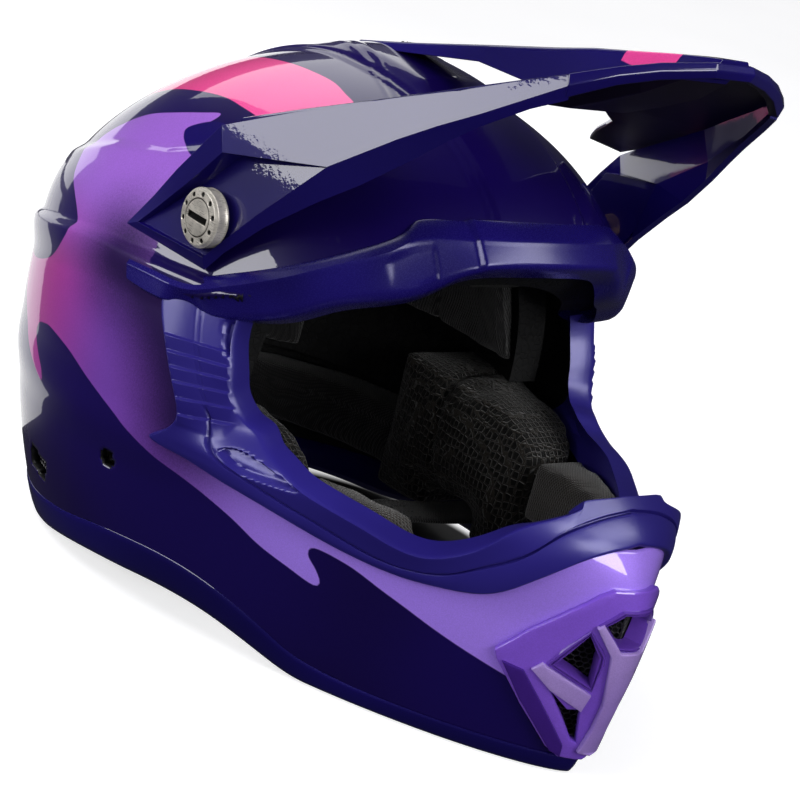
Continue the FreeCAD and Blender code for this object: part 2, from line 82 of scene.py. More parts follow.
def along(points, count, smooth=True):
    """count points spaced evenly along a line through the given ones."""
    p = np.asarray(points, float)
    chord = np.concatenate([[0], np.cumsum(np.linalg.norm(np.diff(p, axis=0), axis=1))])
    fine = np.linspace(0, chord[-1], 800)
    if smooth and len(p) > 2:
        line = spline(chord, p, fine)
    else:
        line = np.stack([np.interp(fine, chord, p[:, k]) for k in range(p.shape[1])], -1)
    length = np.concatenate([[0], np.cumsum(np.linalg.norm(np.diff(line, axis=0), axis=1))])
    places = np.linspace(0, length[-1], count)
    return np.stack([np.interp(places, length, line[:, k]) for k in range(p.shape[1])], -1)


# ------------------------------------------------------------------ shell form
# Height, half width, rear reach and front reach of each level; the last closes the crown.
SECTIONS = [
    (-12, 101, 120, 180), (0, 106, 129, 184), (20, 113, 139, 188), (40, 118, 147.5, 191),
    (60, 121.5, 154, 193), (80, 124, 158.5, 192), (100, 125, 160.5, 184),
    (120, 124.5, 160.5, 163), (140, 122, 156, 137), (160, 116, 147, 119),
    (180, 105, 131.5, 105), (200, 88, 109, 88), (215, 68, 87, 69), (226, 45, 64, 46),
    (232, 25, 45, 24), (234.6, 8, 30, -2), (235, 0, 17, -17),
]


def levels(count, lowest=None):
    """Section values at count places spaced evenly up the side of the shell."""
    table = np.array(SECTIONS, float)
    span = np.stack([table[:, 0], table[:, 1], (table[:, 2] + table[:, 3]) / 2], -1)
    chord = np.concatenate([[0], np.cumsum(np.linalg.norm(np.diff(span, axis=0), axis=1))])
    start = 0.0
    if lowest is not None:
        fine = np.linspace(0, chord[-1], 2000)
        start = np.interp(lowest, spline(chord, table, fine)[:, 0], fine)
    return spline(chord, table, np.linspace(start, chord[-1], count))


def section_line(level, count=361):
    """(x, u) from the nose round the wearer's left to the rear."""
    z, w, rear, front = level
    full = smoothstep((z - 60.0) / 90.0)
    point_power, round_power = 1.6 + 0.5 * full, 1.3 + 0.8 * full
    widest = -28 + 8 * min(max((z - 140) / 95.0, 0.0), 1.0)
    c = np.cos(np.linspace(0, math.pi, count))
    s = np.abs(c)
    ahead = c > 0
    u = np.where(ahead, widest + (front - widest) * s, widest - (rear + widest) * s)
    x = np.where(ahead, w * np.maximum(1 - s ** point_power, 0) ** (1 / round_power),
                 w * np.maximum(1 - s ** 2.2, 0) ** (1 / 2.2))
    return x, u


def polar_radius(level, bearings):
    """Radius about the upright axis at each bearing (0 at the nose, pi at the rear)."""
    x, u = section_line(level)
    bearing = np.arctan2(x, u - POLE_U)
    return np.interp(bearings, bearing, np.hypot(x, u - POLE_U))


TABLE_Z = np.arange(-12.0, 230.0, 1.0)
TABLE_B = np.linspace(0, math.pi, 361)


def radius_tables():
    """Radius of the shell form over height and bearing, and its slopes along both."""
    fine = levels(1200)
    radius = np.array([polar_radius([np.interp(z, fine[:, 0], fine[:, k]) for k in range(4)],
                                    TABLE_B) for z in TABLE_Z])
    wide = np.concatenate([radius[:, 1:2], radius, radius[:, -2:-1]], axis=1)
    across = (wide[:, 2:] - wide[:, :-2]) / (2 * (TABLE_B[1] - TABLE_B[0]))
    return radius, np.gradient(radius, TABLE_Z, axis=0), across


RADIUS, SLOPE_Z, SLOPE_B = radius_tables()


def read_table(table, bearing, z):
    i = np.clip((z - TABLE_Z[0]), 0, len(TABLE_Z) - 1.001)
    j = np.clip(bearing / (TABLE_B[1] - TABLE_B[0]), 0, len(TABLE_B) - 1.001)
    i0, j0 = i.astype(int), j.astype(int)
    a, b = i - i0, j - j0
    return (table[i0, j0] * (1 - a) + table[i0 + 1, j0] * a) * (1 - b) + \
        (table[i0, j0 + 1] * (1 - a) + table[i0 + 1, j0 + 1] * a) * b


def on_shell(bearing, z, off=0.0):
    """Point (x, u, z) on the shell form at a signed bearing and height, moved out by off."""
    bearing, z = np.broadcast_arrays(np.asarray(bearing, float), np.asarray(z, float))
    side, turn = np.sign(bearing), np.abs(bearing)
    r = read_table(RADIUS, turn, z)
    rb, rz = read_table(SLOPE_B, turn, z) / r, read_table(SLOPE_Z, turn, z)
    sin, cos = np.sin(turn), np.cos(turn)
    normal = np.stack([sin - rb * cos, cos + rb * sin, -rz], -1)
    normal /= np.linalg.norm(normal, axis=-1, keepdims=True)
    p = np.stack([r * sin, POLE_U + r * cos, z], -1) + normal * np.asarray(off)[..., None]
    p[..., 0] *= np.where(side == 0, 1, side)
    return p


def bearing_of(x, u):
    return np.arctan2(x, np.asarray(u) - POLE_U)


def bearing_at(u, z):
    """Bearing on the wearer's left of the shell point at this u and z."""
    u, z = np.atleast_1d(np.asarray(u, float)), np.atleast_1d(np.asarray(z, float))
    out = []
    for a, b in zip(u, z):
        line = POLE_U + read_table(RADIUS, TABLE_B, np.full(len(TABLE_B), b)) * np.cos(TABLE_B)
        out.append(np.interp(-a, -line, TABLE_B))
    return np.array(out)


def side_chart(p):
    """Degrees forward and up from the side pole: the flat map that the paint is drawn on."""
    d = np.stack([np.abs(p[..., 0]), p[..., 1] + 24.0, p[..., 2] - 105.0], -1)
    d /= np.linalg.norm(d, axis=-1, keepdims=True)
    r = np.degrees(np.arccos(np.clip(d[..., 0], -1, 1)))
    turn = np.arctan2(d[..., 2], d[..., 1])
    return np.stack([r * np.cos(turn), r * np.sin(turn)], -1)


def rounded(outline, steps=6):
    """Closed line through the outline's points (Catmull-Rom)."""
    p = np.asarray(outline, float)
    t = np.linspace(0, 1, steps, endpoint=False)[:, None]
    out = []
    for k in range(len(p)):
        a, b, c, d = p[k - 1], p[k], p[(k + 1) % len(p)], p[(k + 2) % len(p)]
        out.append(0.5 * (2 * b + (c - a) * t + (2 * a - 5 * b + 4 * c - d) * t ** 2 +
                          (3 * b - a - 3 * c + d) * t ** 3))
    return np.concatenate(out)


def depth_inside(points, outline):
    """Signed distance to a closed outline, positive inside."""
    p, q = np.asarray(points, float), np.asarray(outline, float)
    near = np.full(p.shape[0], 1e9)
    inside = np.zeros(p.shape[0], bool)
    for a, b in zip(q, np.roll(q, -1, axis=0)):
        edge = b - a
        t = np.clip(((p - a) @ edge) / max(edge @ edge, 1e-9), 0, 1)
        near = np.minimum(near, np.linalg.norm(p - a - t[:, None] * edge, axis=1))
        if a[1] != b[1]:
            cross = (p[:, 1] < a[1]) != (p[:, 1] < b[1])
            inside ^= cross & (p[:, 0] < a[0] + (p[:, 1] - a[1]) * edge[0] / edge[1])
    return np.where(inside, near, -near)


# ------------------------------------------------------------------ mesh helpers
def new_object(name, verts, faces, smooth=True):
    mesh = bpy.data.meshes.new(name)
    mesh.from_pydata([tuple(v) for v in verts], [], [tuple(int(i) for i in f) for f in faces])
    mesh.update()
    obj = bpy.data.objects.new(name, mesh)
    bpy.context.scene.collection.objects.link(obj)
    if smooth:
        mesh.polygons.foreach_set("use_smooth", [True] * len(mesh.polygons))
    return obj


def grid_faces(rows, cols, loop_rows=False, loop_cols=False):
    i = np.arange(rows if loop_rows else rows - 1)
    j = np.arange(cols if loop_cols else cols - 1)
    i, j = np.meshgrid(i, j, indexing="ij")
    a, b = i * cols + j, i * cols + (j + 1) % cols
    c, d = ((i + 1) % rows) * cols + (j + 1) % cols, ((i + 1) % rows) * cols + j
    return np.stack([a, b, c, d], -1).reshape(-1, 4)


def closed_tube(name, rows, smooth=False):
    """Rings of (x, u, z) points joined into a tube with closed ends."""
    rows = np.array(rows, float)
    n, last = rows.shape[1], (len(rows) - 1) * rows.shape[1]
    faces = [tuple(f) for f in grid_faces(len(rows), n, loop_cols=True)]
    faces += [tuple(range(n))[::-1], tuple(last + k for k in range(n))]
    obj = new_object(name, to_row(rows.reshape(-1, 3)), faces, smooth)
    outward(obj)
    return obj


def all_smooth(obj):
    obj.data.polygons.foreach_set("use_smooth", [True] * len(obj.data.polygons))


def set_attribute(obj, name, values):
    layer = obj.data.attributes.new(name, "FLOAT", "POINT")
    layer.data.foreach_set("value", np.asarray(values, np.float32))


@contextlib.contextmanager
def editing(mesh):
    """The mesh as a bmesh, written back at the end."""
    bm = bmesh.new()
    bm.from_mesh(mesh)
    yield bm
    bm.to_mesh(mesh)
    bm.free()


def outward(obj):
    """Faces turned to look outward."""
    with editing(obj.data) as bm:
        bmesh.ops.recalc_face_normals(bm, faces=bm.faces)


def sharpen(obj, degrees=30):
    """Smooth shading that stays sharp across edges over this angle."""
    limit = math.radians(degrees)
    with editing(obj.data) as bm:
        for e in bm.edges:
            e.smooth = not (len(e.link_faces) == 2 and e.calc_face_angle(0.0) > limit)


def bevel(obj, width, segments=2, angle=30):
    m = obj.modifiers.new("edge_rounding", "BEVEL")
    m.width = width * MM
    m.segments = segments
    m.limit_method = "ANGLE"
    m.angle_limit = math.radians(angle)
    m.harden_normals = False
    return m


def weighted(obj):
    m = obj.modifiers.new("weighted_normals", "WEIGHTED_NORMAL")
    m.keep_sharp = True


def finish_piece(obj, body, slot, material, *replaced):
    obj.data.materials.clear()
    obj.data.materials.append(material)
    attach(obj, body)
    if replaced:
        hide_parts(*replaced)
    return obj


# ------------------------------------------------------------------ material helpers
class Shader:
    """A material with its Principled shader, and short ways to add nodes."""

    def __init__(self, name):
        self.material = bpy.data.materials.new(name)
        self.material.use_nodes = True
        self.tree = self.material.node_tree
        self.surface = self.tree.nodes["Principled BSDF"]

    def node(self, kind, inputs=None, **settings):
        n = self.tree.nodes.new(kind)
        for key, value in settings.items():
            setattr(n, key, value)
        for key, value in (inputs or {}).items():
            self.plug(n.inputs[key], value)
        return n

    def plug(self, socket, value):
        if isinstance(value, bpy.types.NodeSocket):
            self.tree.links.new(value, socket)
        elif isinstance(value, bpy.types.Node):
            self.tree.links.new(value.outputs[0], socket)
        else:
            socket.default_value = value

    def set(self, **inputs):
        for key, value in inputs.items():
            self.plug(self.surface.inputs[key.replace("_", " ")], value)
        return self

    def math(self, operation, a, b=0.0, c=0.0):
        n = self.node("ShaderNodeMath", operation=operation)
        for socket, value in zip(n.inputs, (a, b, c)):
            self.plug(socket, value)
        return n.outputs[0]

    def blend(self, share, a, b):
        n = self.node("ShaderNodeMix", data_type="RGBA")
        self.plug(n.inputs["Factor"], share)
        self.plug(n.inputs["A"], a)
        self.plug(n.inputs["B"], b)
        return n.outputs["Result"]

    def span(self, value, low, high, to_low=0.0, to_high=1.0):
        n = self.node("ShaderNodeMapRange", {"Value": value, "From Min": low, "From Max": high,
                                             "To Min": to_low, "To Max": to_high},
                      interpolation_type="SMOOTHSTEP")
        return n.outputs["Result"]

    def attribute(self, name):
        return self.node("ShaderNodeAttribute", attribute_name=name).outputs["Fac"]

    def place(self):
        return self.node("ShaderNodeTexCoord").outputs["Object"]

    def noise(self, scale, detail=2.0, place=None, roughness=0.5):
        return self.node("ShaderNodeTexNoise", {
            "Vector": place if place is not None else self.place(), "Scale": scale,
            "Detail": detail, "Roughness": roughness}).outputs["Fac"]

    def bump(self, height, strength, distance):
        return self.node("ShaderNodeBump", {"Height": height, "Strength": strength,
                                            "Distance": distance}).outputs["Normal"]


def rgb(r, g, b):
    """Display colour (0-255) to linear."""
    out = []
    for c in (r, g, b):
        c /= 255.0
        out.append(c / 12.92 if c <= 0.04045 else ((c + 0.055) / 1.055) ** 2.4)
    return (*out, 1.0)


def lacquer(shader, colour, metallic=0.25, flake=0.06):
    """Candy paint under clear coat: fine metal flake in the colour, orange peel in the coat."""
    s = shader
    speck = s.node("ShaderNodeTexVoronoi", {"Vector": s.place(), "Scale": 2600.0}).outputs["Color"]
    bright = s.node("ShaderNodeSeparateColor", {"Color": speck}).outputs[0]
    gain = s.math("MULTIPLY_ADD", bright, flake * 2, 1.0 - flake)
    scaled = s.node("ShaderNodeVectorMath", {0: colour}, operation="SCALE")
    s.plug(scaled.inputs["Scale"], gain)
    peel = s.noise(420.0, 2.0)
    s.set(Base_Color=scaled.outputs[0], Metallic=metallic, Roughness=0.38,
          Coat_Weight=1.0, Coat_Roughness=0.015, Coat_IOR=1.6, Specular_IOR_Level=0.18)
    s.plug(s.surface.inputs["Coat Normal"], s.bump(peel, 0.035, 0.0004))
    return s.material


def gloss(name, colour, second, metallic=0.25):
    s = Shader(name)
    drift = s.span(s.noise(9.0, 1.0), 0.35, 0.65)
    return lacquer(s, s.blend(drift, colour, second), metallic)


def satin_plastic(name, colour, second, roughness=0.33):
    """Moulded, painted plastic with a fine grain."""
    s = Shader(name)
    drift = s.span(s.noise(14.0, 2.0), 0.3, 0.7)
    grain = s.noise(2200.0, 3.0)
    rough = s.span(grain, 0.2, 0.8, roughness - 0.05, roughness + 0.06)
    s.set(Base_Color=s.blend(drift, colour, second), Roughness=rough, Metallic=0.15,
          Coat_Weight=0.35, Coat_Roughness=0.22)
    s.set(Normal=s.bump(grain, 0.12, 0.0003))
    return s.material


# ------------------------------------------------------------------ painted shell
SEAM = [(-220, 10), (-110, 11), (-60, 15), (-32, 19.2), (-12, 24.2), (13, 27.2), (34, 28.4),
        (51, 26.4), (63, 22.4), (76, 17.4), (88, 11.5), (98, 9.5), (118, 8), (181, 8)]
PORT = [(230, 108), (176, 100), (166, 88), (154, 79), (140, 74), (122, 73), (104, 77),
        (84, 77.5), (66, 80), (48, 84), (39, 88), (37, 96), (34, 104), (23, 122), (16, 133),
        (13, 141), (22, 141.5), (32, 144.5), (42.4, 149.5), (55.6, 157), (67.4, 166.5),
        (77.3, 175.6), (88, 186), (97, 190), (230, 190)]
MOUTH_EDGE = [(166, 46), (175, 58), (184, 71), (190, 80), (230, 81)]
REAR_VENT = [(-66, 28), (-48, 26), (-47, 36), (-65, 38)]
SIDE_HOLE = (-3, 59, 3.6)    # u, z, radius

# Body lines as (bearing in degrees, height): a soft shoulder above the side, and the ridge
# that carries on behind the brow.
SHOULDER = [(55, 196), (68, 195), (80, 193.5), (88, 191.5), (98, 184), (115, 176), (129, 164),
            (145, 154), (160, 149), (180, 146)]
RIDGE_TOP = [(60, 150), (82, 147), (90, 145.5), (99, 144), (109, 140), (121, 134), (140, 124),
             (160, 118), (180, 116)]
RIDGE_LOW = [(60, 136), (79, 135.5), (87, 134), (95, 132), (107, 127.5), (121, 121), (140, 113),
             (160, 108), (180, 106)]


def crown_relief(p):
    """How far the shell stands off its plain form: crown panel, shoulder and side ridge."""
    x, u, z = np.abs(p[..., 0]), p[..., 1], p[..., 2]
    turn = np.degrees(np.arctan2(x, u - POLE_U))

    def line(points):
        return np.interp(turn, [q[0] for q in points], [q[1] for q in points])

    shoulder = line(SHOULDER)
    high = z > 120
    step = smoothstep((shoulder + 4 - z) / 8.0)
    fade = 1 - smoothstep((shoulder - 10 - z) / 34.0)
    out = np.where(high, 2.4 * step * fade, 0.0) * smoothstep((turn - 42) / 20.0)
    top, low = line(RIDGE_TOP), line(RIDGE_LOW)
    rise = smoothstep((top + 3.5 - z) / 4.5) * (1 - smoothstep((top - 1.5 - z) / (top - low + 3)))
    out = out + 3.0 * rise * smoothstep((turn - 48) / 14.0)
    panel = (1 - smoothstep((x - 23.5) / 1.6)) * smoothstep((z - 188) / 10.0) * 1.3
    lip = (1 - smoothstep((x - 26.8) / 1.4)) * smoothstep((z - 188) / 10.0) * 0.9
    scoop = 3.2 * (1 - smoothstep((x - 17) / 8.0)) * smoothstep((u + 60) / 40.0) * \
        (1 - smoothstep((u - 14) / 14.0)) * smoothstep((z - 215) / 10.0)
    rails = 0.0
    for stand in (0.0, 4.2):
        path = np.interp(u, [-60, -40, -11, 14, 30], [9, 13, 20, 29, 36]) + stand
        rails = rails + 0.45 * np.exp(-((x - path) / 0.9) ** 2) * smoothstep((u + 62) / 10.0) * \
            (1 - smoothstep((u - 18) / 8.0)) * smoothstep((z - 205) / 8.0)
    crease = 1.1 * (1 - smoothstep(np.abs(z - 73) / 16.0)) * \
        smoothstep((turn - 62) / 10.0) * (1 - smoothstep((turn - 125) / 30.0))
    return out + panel + lip + scoop + crease + rails


# Paint outlines on the side chart (degrees forward, degrees up).
VIOLET_FIELD = [
    (-1, 49.5), (-6, 47.5), (-12, 45), (-20, 41.5), (-26, 37), (-30, 32.5), (-30.5, 29),
    (-28, 26), (-25, 23), (-21, 21), (-17.5, 19), (-15.5, 17), (-16, 14), (-19, 10), (-23, 7),
    (-30, 4.5), (-37, 4), (-50, 7), (-70, 11), (-92, 14), (-92, 1), (-70, -3), (-50, -3),
    (-38, -2), (-30, -6), (-24, -10.5), (-19, -13), (-14, -15), (-14.5, -13), (-17, -11),
    (-19.5, -9), (-20.6, -7.2), (-20, -5.3), (-17.5, -4.4), (-14, -4), (-6, -5.2), (2, -8),
    (10, -11), (14, -12.8), (21, -15.2), (28, -17), (33, -18.3), (39, -20.4), (44, -22.8),
    (49, -24.3), (53, -25.4), (54.2, -24.5), (53.6, -22.5), (52.4, -20.6), (52.8, -18.9),
    (55, -18.6), (59, -19.3), (63, -21), (66, -22.3), (69, -23.8), (74, -26), (84, -30),
    (96, -34), (96, 20), (60, 8), (40, 4), (28, 14), (12, 18), (9, 24), (9, 34), (6, 40.5),
    (0, 41), (-3, 42.3), (-3.3, 44.5), (-1, 47)]
NAVY_TONGUE = [(-4.5, 44), (0, 47.5), (6, 48), (12, 46), (12, 40), (5, 39), (0, 40.3), (-3.6, 42)]
PINK_SWOOSH = [(-92, 34), (-70, 47), (-50, 56), (-36, 62), (-24, 66), (-10, 68.5), (0, 69.5),
               (9, 69.3), (16, 67.2), (21, 65), (24, 60), (22, 54), (10, 52.6), (2, 53),
               (-6, 53), (-18, 50.5), (-28, 47.5), (-40, 42), (-60, 32), (-80, 22), (-92, 18)]
LOW_FLAME = [(-92, -14), (-60, -16), (-34, -19), (-20, -22), (-11, -24.6), (-3, -25.6),
             (7, -26.2), (14, -27.4), (18, -28.6), (20.4, -30.4), (19.2, -31.2), (16.2, -31.8),
             (16.5, -32.6), (20, -33.4), (26, -34.2), (33, -35.4), (40, -37), (30, -44),
             (0, -50), (-40, -46), (-92, -40)]
PAINT_EDGE = 0.12            # softness of a paint edge, degrees
# Line on the side chart near which the violet is darkened: painted shade under the brow and along
# the rear edge of the eye port frame.
SHADE_LINE = [(2, 17), (10, 14.5), (16, 11), (21, 6), (25, 0), (27, -6)]


def build_shell():
    rows, cols = 240, 520
    table = levels(rows + 1, lowest=8.0)[:-1]
    bearings = np.arange(cols) * 2 * math.pi / cols
    turn = np.where(bearings > math.pi, 2 * math.pi - bearings, bearings)
    side = np.where(bearings > math.pi, -1.0, 1.0)
    p = np.zeros((rows, cols, 3))
    for i, level in enumerate(table):
        r = polar_radius(level, turn)
        p[i, :, 0], p[i, :, 1], p[i, :, 2] = side * r * np.sin(turn), POLE_U + r * np.cos(turn), \
            level[0]
    up = np.gradient(p, axis=0)
    wrapped = np.concatenate([p[:, -1:], p, p[:, :1]], axis=1)
    across = wrapped[:, 2:] - wrapped[:, :-2]
    normal = np.cross(up, across)
    normal /= np.maximum(np.linalg.norm(normal, axis=-1, keepdims=True), 1e-9)
    centre = p - np.array([0, -24.0, 100.0])
    normal *= np.sign((normal * centre).sum(-1, keepdims=True))
    chart = side_chart(p.reshape(-1, 3))
    relief = crown_relief(p)
    p = p + normal * relief[..., None]
    verts = p.reshape(-1, 3)
    apex = np.array([[0.0, POLE_U, 235.0 + crown_relief(np.array([[0.0, POLE_U, 235.0]]))[0]]])
    verts = np.concatenate([verts, apex])
    quads = grid_faces(rows, cols, loop_cols=True)
    middle = verts[quads].mean(1)
    outline = np.array(SEAM + MOUTH_EDGE + PORT + [(230, 300), (-220, 300)], float)
    keep = depth_inside(middle[:, 1:], outline) > 0
    keep &= depth_inside(middle[:, 1:], np.array(REAR_VENT, float)) < 0
    hole = np.hypot(middle[:, 1] - SIDE_HOLE[0], middle[:, 2] - SIDE_HOLE[1])
    keep &= hole > SIDE_HOLE[2] + 0.6
    faces = [tuple(f) for f in quads[keep]]
    last = (rows - 1) * cols
    faces += [(last + j, last + (j + 1) % cols, rows * cols) for j in range(cols)]
    obj = new_object("painted_shell", to_row(verts), faces)
    chart = np.concatenate([chart, [[0.0, 90.0]]])
    for name, shape in (("violet", VIOLET_FIELD), ("tongue", NAVY_TONGUE),
                        ("swoosh", PINK_SWOOSH), ("flame", LOW_FLAME)):
        set_attribute(obj, name, depth_inside(chart, rounded(shape)))
    set_attribute(obj, "ahead", chart[:, 0])
    set_attribute(obj, "above", chart[:, 1])
    near = np.full(len(chart), 1e9)
    for a, b in zip(np.array(SHADE_LINE, float), np.array(SHADE_LINE[1:], float)):
        t = np.clip(((chart - a) @ (b - a)) / ((b - a) @ (b - a)), 0, 1)
        near = np.minimum(near, np.linalg.norm(chart - a - t[:, None] * (b - a), axis=1))
    set_attribute(obj, "shade", near)
    with editing(obj.data) as bm:
        loose = [v for v in bm.verts if not v.link_faces]
        bmesh.ops.delete(bm, geom=loose, context="VERTS")
        bmesh.ops.recalc_face_normals(bm, faces=bm.faces)
    if sum(f.normal.dot(f.center - Vector((0, 0.04, 0.1))) > 0 for f in obj.data.polygons) < \
            len(obj.data.polygons) / 2:
        obj.data.flip_normals()
    thick = obj.modifiers.new("wall", "SOLIDIFY")
    thick.thickness, thick.offset = WALL * MM, -1
    thick.material_offset = thick.material_offset_rim = 1
    finish_piece(obj, "shell_body", "painted_shell", shell_paint(), "outer_shell")
    obj.data.materials.append(laminate("shell_inside"))
    return obj


def laminate(name):
    """Bare black inside of the moulded shell: crossed tows under resin."""
    s = Shader(name)
    apart = s.node("ShaderNodeSeparateXYZ", {"Vector": s.place()})
    tows = [s.math("SINE", s.math("MULTIPLY", apart.outputs[k], 2 * math.pi / 0.004))
            for k in ("Y", "Z")]
    weave = s.span(s.math("MULTIPLY", *tows), -0.2, 0.2)
    s.set(Base_Color=s.blend(weave, rgb(7, 7, 8), rgb(15, 15, 17)), Roughness=0.5,
          Normal=s.bump(weave, 0.3, 0.0002))
    return s.material


def shell_paint():
    s = Shader("shell_paint")
    ahead, above = s.attribute("ahead"), s.attribute("above")
    drift = s.span(s.noise(7.0, 1.0), 0.35, 0.65)
    navy = s.blend(drift, rgb(22, 8, 100), rgb(14, 4, 72))
    violet = s.blend(s.span(ahead, -24.0, 8.0), rgb(176, 58, 150), rgb(120, 70, 176))
    violet = s.blend(s.span(above, 6.0, 26.0), violet, rgb(160, 104, 214))
    violet = s.blend(s.span(ahead, 20.0, 52.0), violet, rgb(160, 124, 236))
    # Painted shade: the violet darkens towards SHADE_LINE, with a grainy edge.
    grain = s.noise(1500.0, 1.0)
    shade_reach = s.math("MULTIPLY_ADD", grain, 5.0, s.math("SUBTRACT", s.attribute("shade"), 2.5))
    painted_shade = s.span(shade_reach, 0.5, 19.0, 0.96, 0.0)
    violet = s.blend(painted_shade, violet, rgb(30, 14, 66))
    pink = s.blend(s.span(ahead, -30.0, 10.0), rgb(240, 66, 146), rgb(246, 84, 160))
    low = s.blend(s.span(ahead, -40.0, 25.0), rgb(34, 12, 74), rgb(16, 3, 44))

    def cut(name):
        return s.span(s.attribute(name), -PAINT_EDGE, PAINT_EDGE)

    colour = s.blend(cut("flame"), navy, low)
    colour = s.blend(cut("violet"), colour, violet)
    colour = s.blend(cut("tongue"), colour, navy)
    colour = s.blend(cut("swoosh"), colour, pink)
    return lacquer(s, colour, metallic=0.12)


# ------------------------------------------------------------------ trims on the shell
def profile_ribbon(name, curves, profile, crossing="front", lift=None):
    """A strip laid on the shell.  curves are (bearing, z) lines with equal counts, from the
    first edge to the last; profile is a list of (position, height): position 1.3 is 30% of
    the way from curve 1 to curve 2.  The strip is mirrored and joined across the nose."""
    curves = [np.asarray(c, float) for c in curves]
    count = len(curves[0])
    rows = []
    for where, height in profile:
        k = min(int(where), len(curves) - 2)
        line = mix(curves[k], curves[k + 1], where - k)
        off = np.full(count, float(height))
        if lift is not None:
            off = off + lift(line, where, height)
        rows.append(on_shell(line[:, 0], line[:, 1], off))
    right = np.array(rows)
    left = right.copy()
    left[..., 0] *= -1
    if crossing == "front":
        right[:, -1, 0] = 0.0
        both = np.concatenate([right, left[:, :-1][:, ::-1]], axis=1)
        faces = grid_faces(len(profile), both.shape[1], loop_rows=True)
        closed_ends = True
    elif crossing == "both":
        right[:, -1, 0] = 0.0
        right[:, 0, 0] = 0.0
        both = np.concatenate([right, left[:, 1:-1][:, ::-1]], axis=1)
        faces = grid_faces(len(profile), both.shape[1], loop_rows=True, loop_cols=True)
        closed_ends = False
    cols = both.shape[1]
    faces = [tuple(f) for f in faces]
    if closed_ends:
        faces.append(tuple(i * cols for i in range(len(profile))))
        faces.append(tuple(i * cols + cols - 1 for i in reversed(range(len(profile)))))
    obj = new_object(name, to_row(both.reshape(-1, 3)), faces)
    outward(obj)
    return obj


def paired(rows, count):
    """Stations of matching points on several edges, turned into smooth matching lines."""
    stations = []
    for row in rows:
        flat = []
        for q in row:
            turn = bearing_of(abs(q[0]), q[1]) if len(q) == 3 else bearing_at(q[0], q[1])[0]
            flat += [float(turn) * 100, q[-1]]
        stations.append(flat)
    stations = np.array(stations)
    steps = np.linalg.norm(np.diff(stations, axis=0), axis=1)
    chord = np.concatenate([[0], np.cumsum(steps)])
    lines = spline(chord, stations, np.linspace(0, chord[-1], count))
    out = []
    for k in range(0, stations.shape[1], 2):
        out.append(np.stack([lines[:, k] / 100, lines[:, k + 1]], -1))
    return out


# Eye port frame: outer edge, groove and inner edge, from under the brow to the nose.
FRAME_ROWS = [
    ((10, 140), (26.5, 141), (42, 144.5)),
    ((14, 131), (30, 130.5), (44.5, 130.5)),
    ((20, 121.5), (34, 120.5), (48.5, 118.5)),
    ((26, 111.5), (39, 110.5), (51, 109.5)),
    ((31, 102.5), (43.5, 102), (55, 103.5)),
    ((33, 94), (47, 95), (60, 99.5)),
    ((27, 86), (49, 89.5), (66, 97.5)),
    ((20, 80.2), (54, 85.5), (72, 93.3)),
    ((34, 79), (64, 83), (81, 90.8)),
    ((50, 77.2), (78, 80), (91, 88.6)),
    ((70, 74.5), (93, 77), (103, 85.8)),
    ((90, 71), (107, 73.6), (116, 82.8)),
    ((108, 68), (120, 71), (127, 79.8)),
    ((126, 66.6), (132, 71.6), (138, 81)),
    ((140, 67.8), (142, 74.8), (149, 88)),
    ((153, 70.6), (152, 82), (157, 97)),
    ((162, 76.5), (163.5, 91.5), (163, 105)),
    ((170.5, 85.5), (170, 103), (168, 112)),
    ((-24, 177, 94.5), (-21, 174, 107.8), (-21, 170, 114)),
    ((-11, 179.5, 99.5), (-10, 175.5, 110.4), (-10, 171, 115)),
    ((0, 181, 101.5), (0, 176, 111.5), (0, 171, 115.5)),
]
LEAF = [(54, 89), (61, 91), (76, 89.6), (90, 87.5), (81, 85.4), (65, 84), (58, 86)]
NOTCH = [(38, 138), (47, 139), (48, 134), (44, 124)]
FIN_HEIGHTS = (125, 119, 113.5, 108, 102, 95.5)
FIN_RISE, FIN_LENGTH = 1.2, 5.6
PILLAR_SLOPE = 6.0           # how far the pillars run in towards the face per band


def frame_lift(line, where, height):
    """Louvres on the pillar, the leaf-shaped recess below them and the notch above."""
    p = on_shell(line[:, 0], line[:, 1])
    u, z = p[:, 1], p[:, 2]
    pillar = smoothstep((z - 84) / 14) * (1 - smoothstep((u - 75) / 20))
    out = -PILLAR_SLOPE * where * pillar
    if 0.1 <= where <= 1.9 and height > 0:
        window = smoothstep((u - 18) / 3) * (1 - smoothstep((u - 53) / 2.5)) * \
            smoothstep((z - 90) / 3)
        for level in FIN_HEIGHTS:
            below = level + 0.08 * (u - 30) - z
            step = np.where((below > 0) & (below < FIN_LENGTH), 1 - below / FIN_LENGTH, 0.0)
            step = np.where((below > -0.7) & (below <= 0), 1 + below / 0.7, step)
            out += FIN_RISE * step * window
        flat = np.stack([u, z], -1)
        out -= 3.0 * smoothstep((depth_inside(flat, rounded(LEAF)) + 0.3) / 1.6)
        out -= 3.5 * smoothstep((depth_inside(flat, rounded(NOTCH)) + 0.3) / 1.6)
        if 0.93 < where < 1.05:
            out += (2.75 - height) * smoothstep((z - 97) / 6) * (1 - smoothstep((u - 90) / 10))
    return out


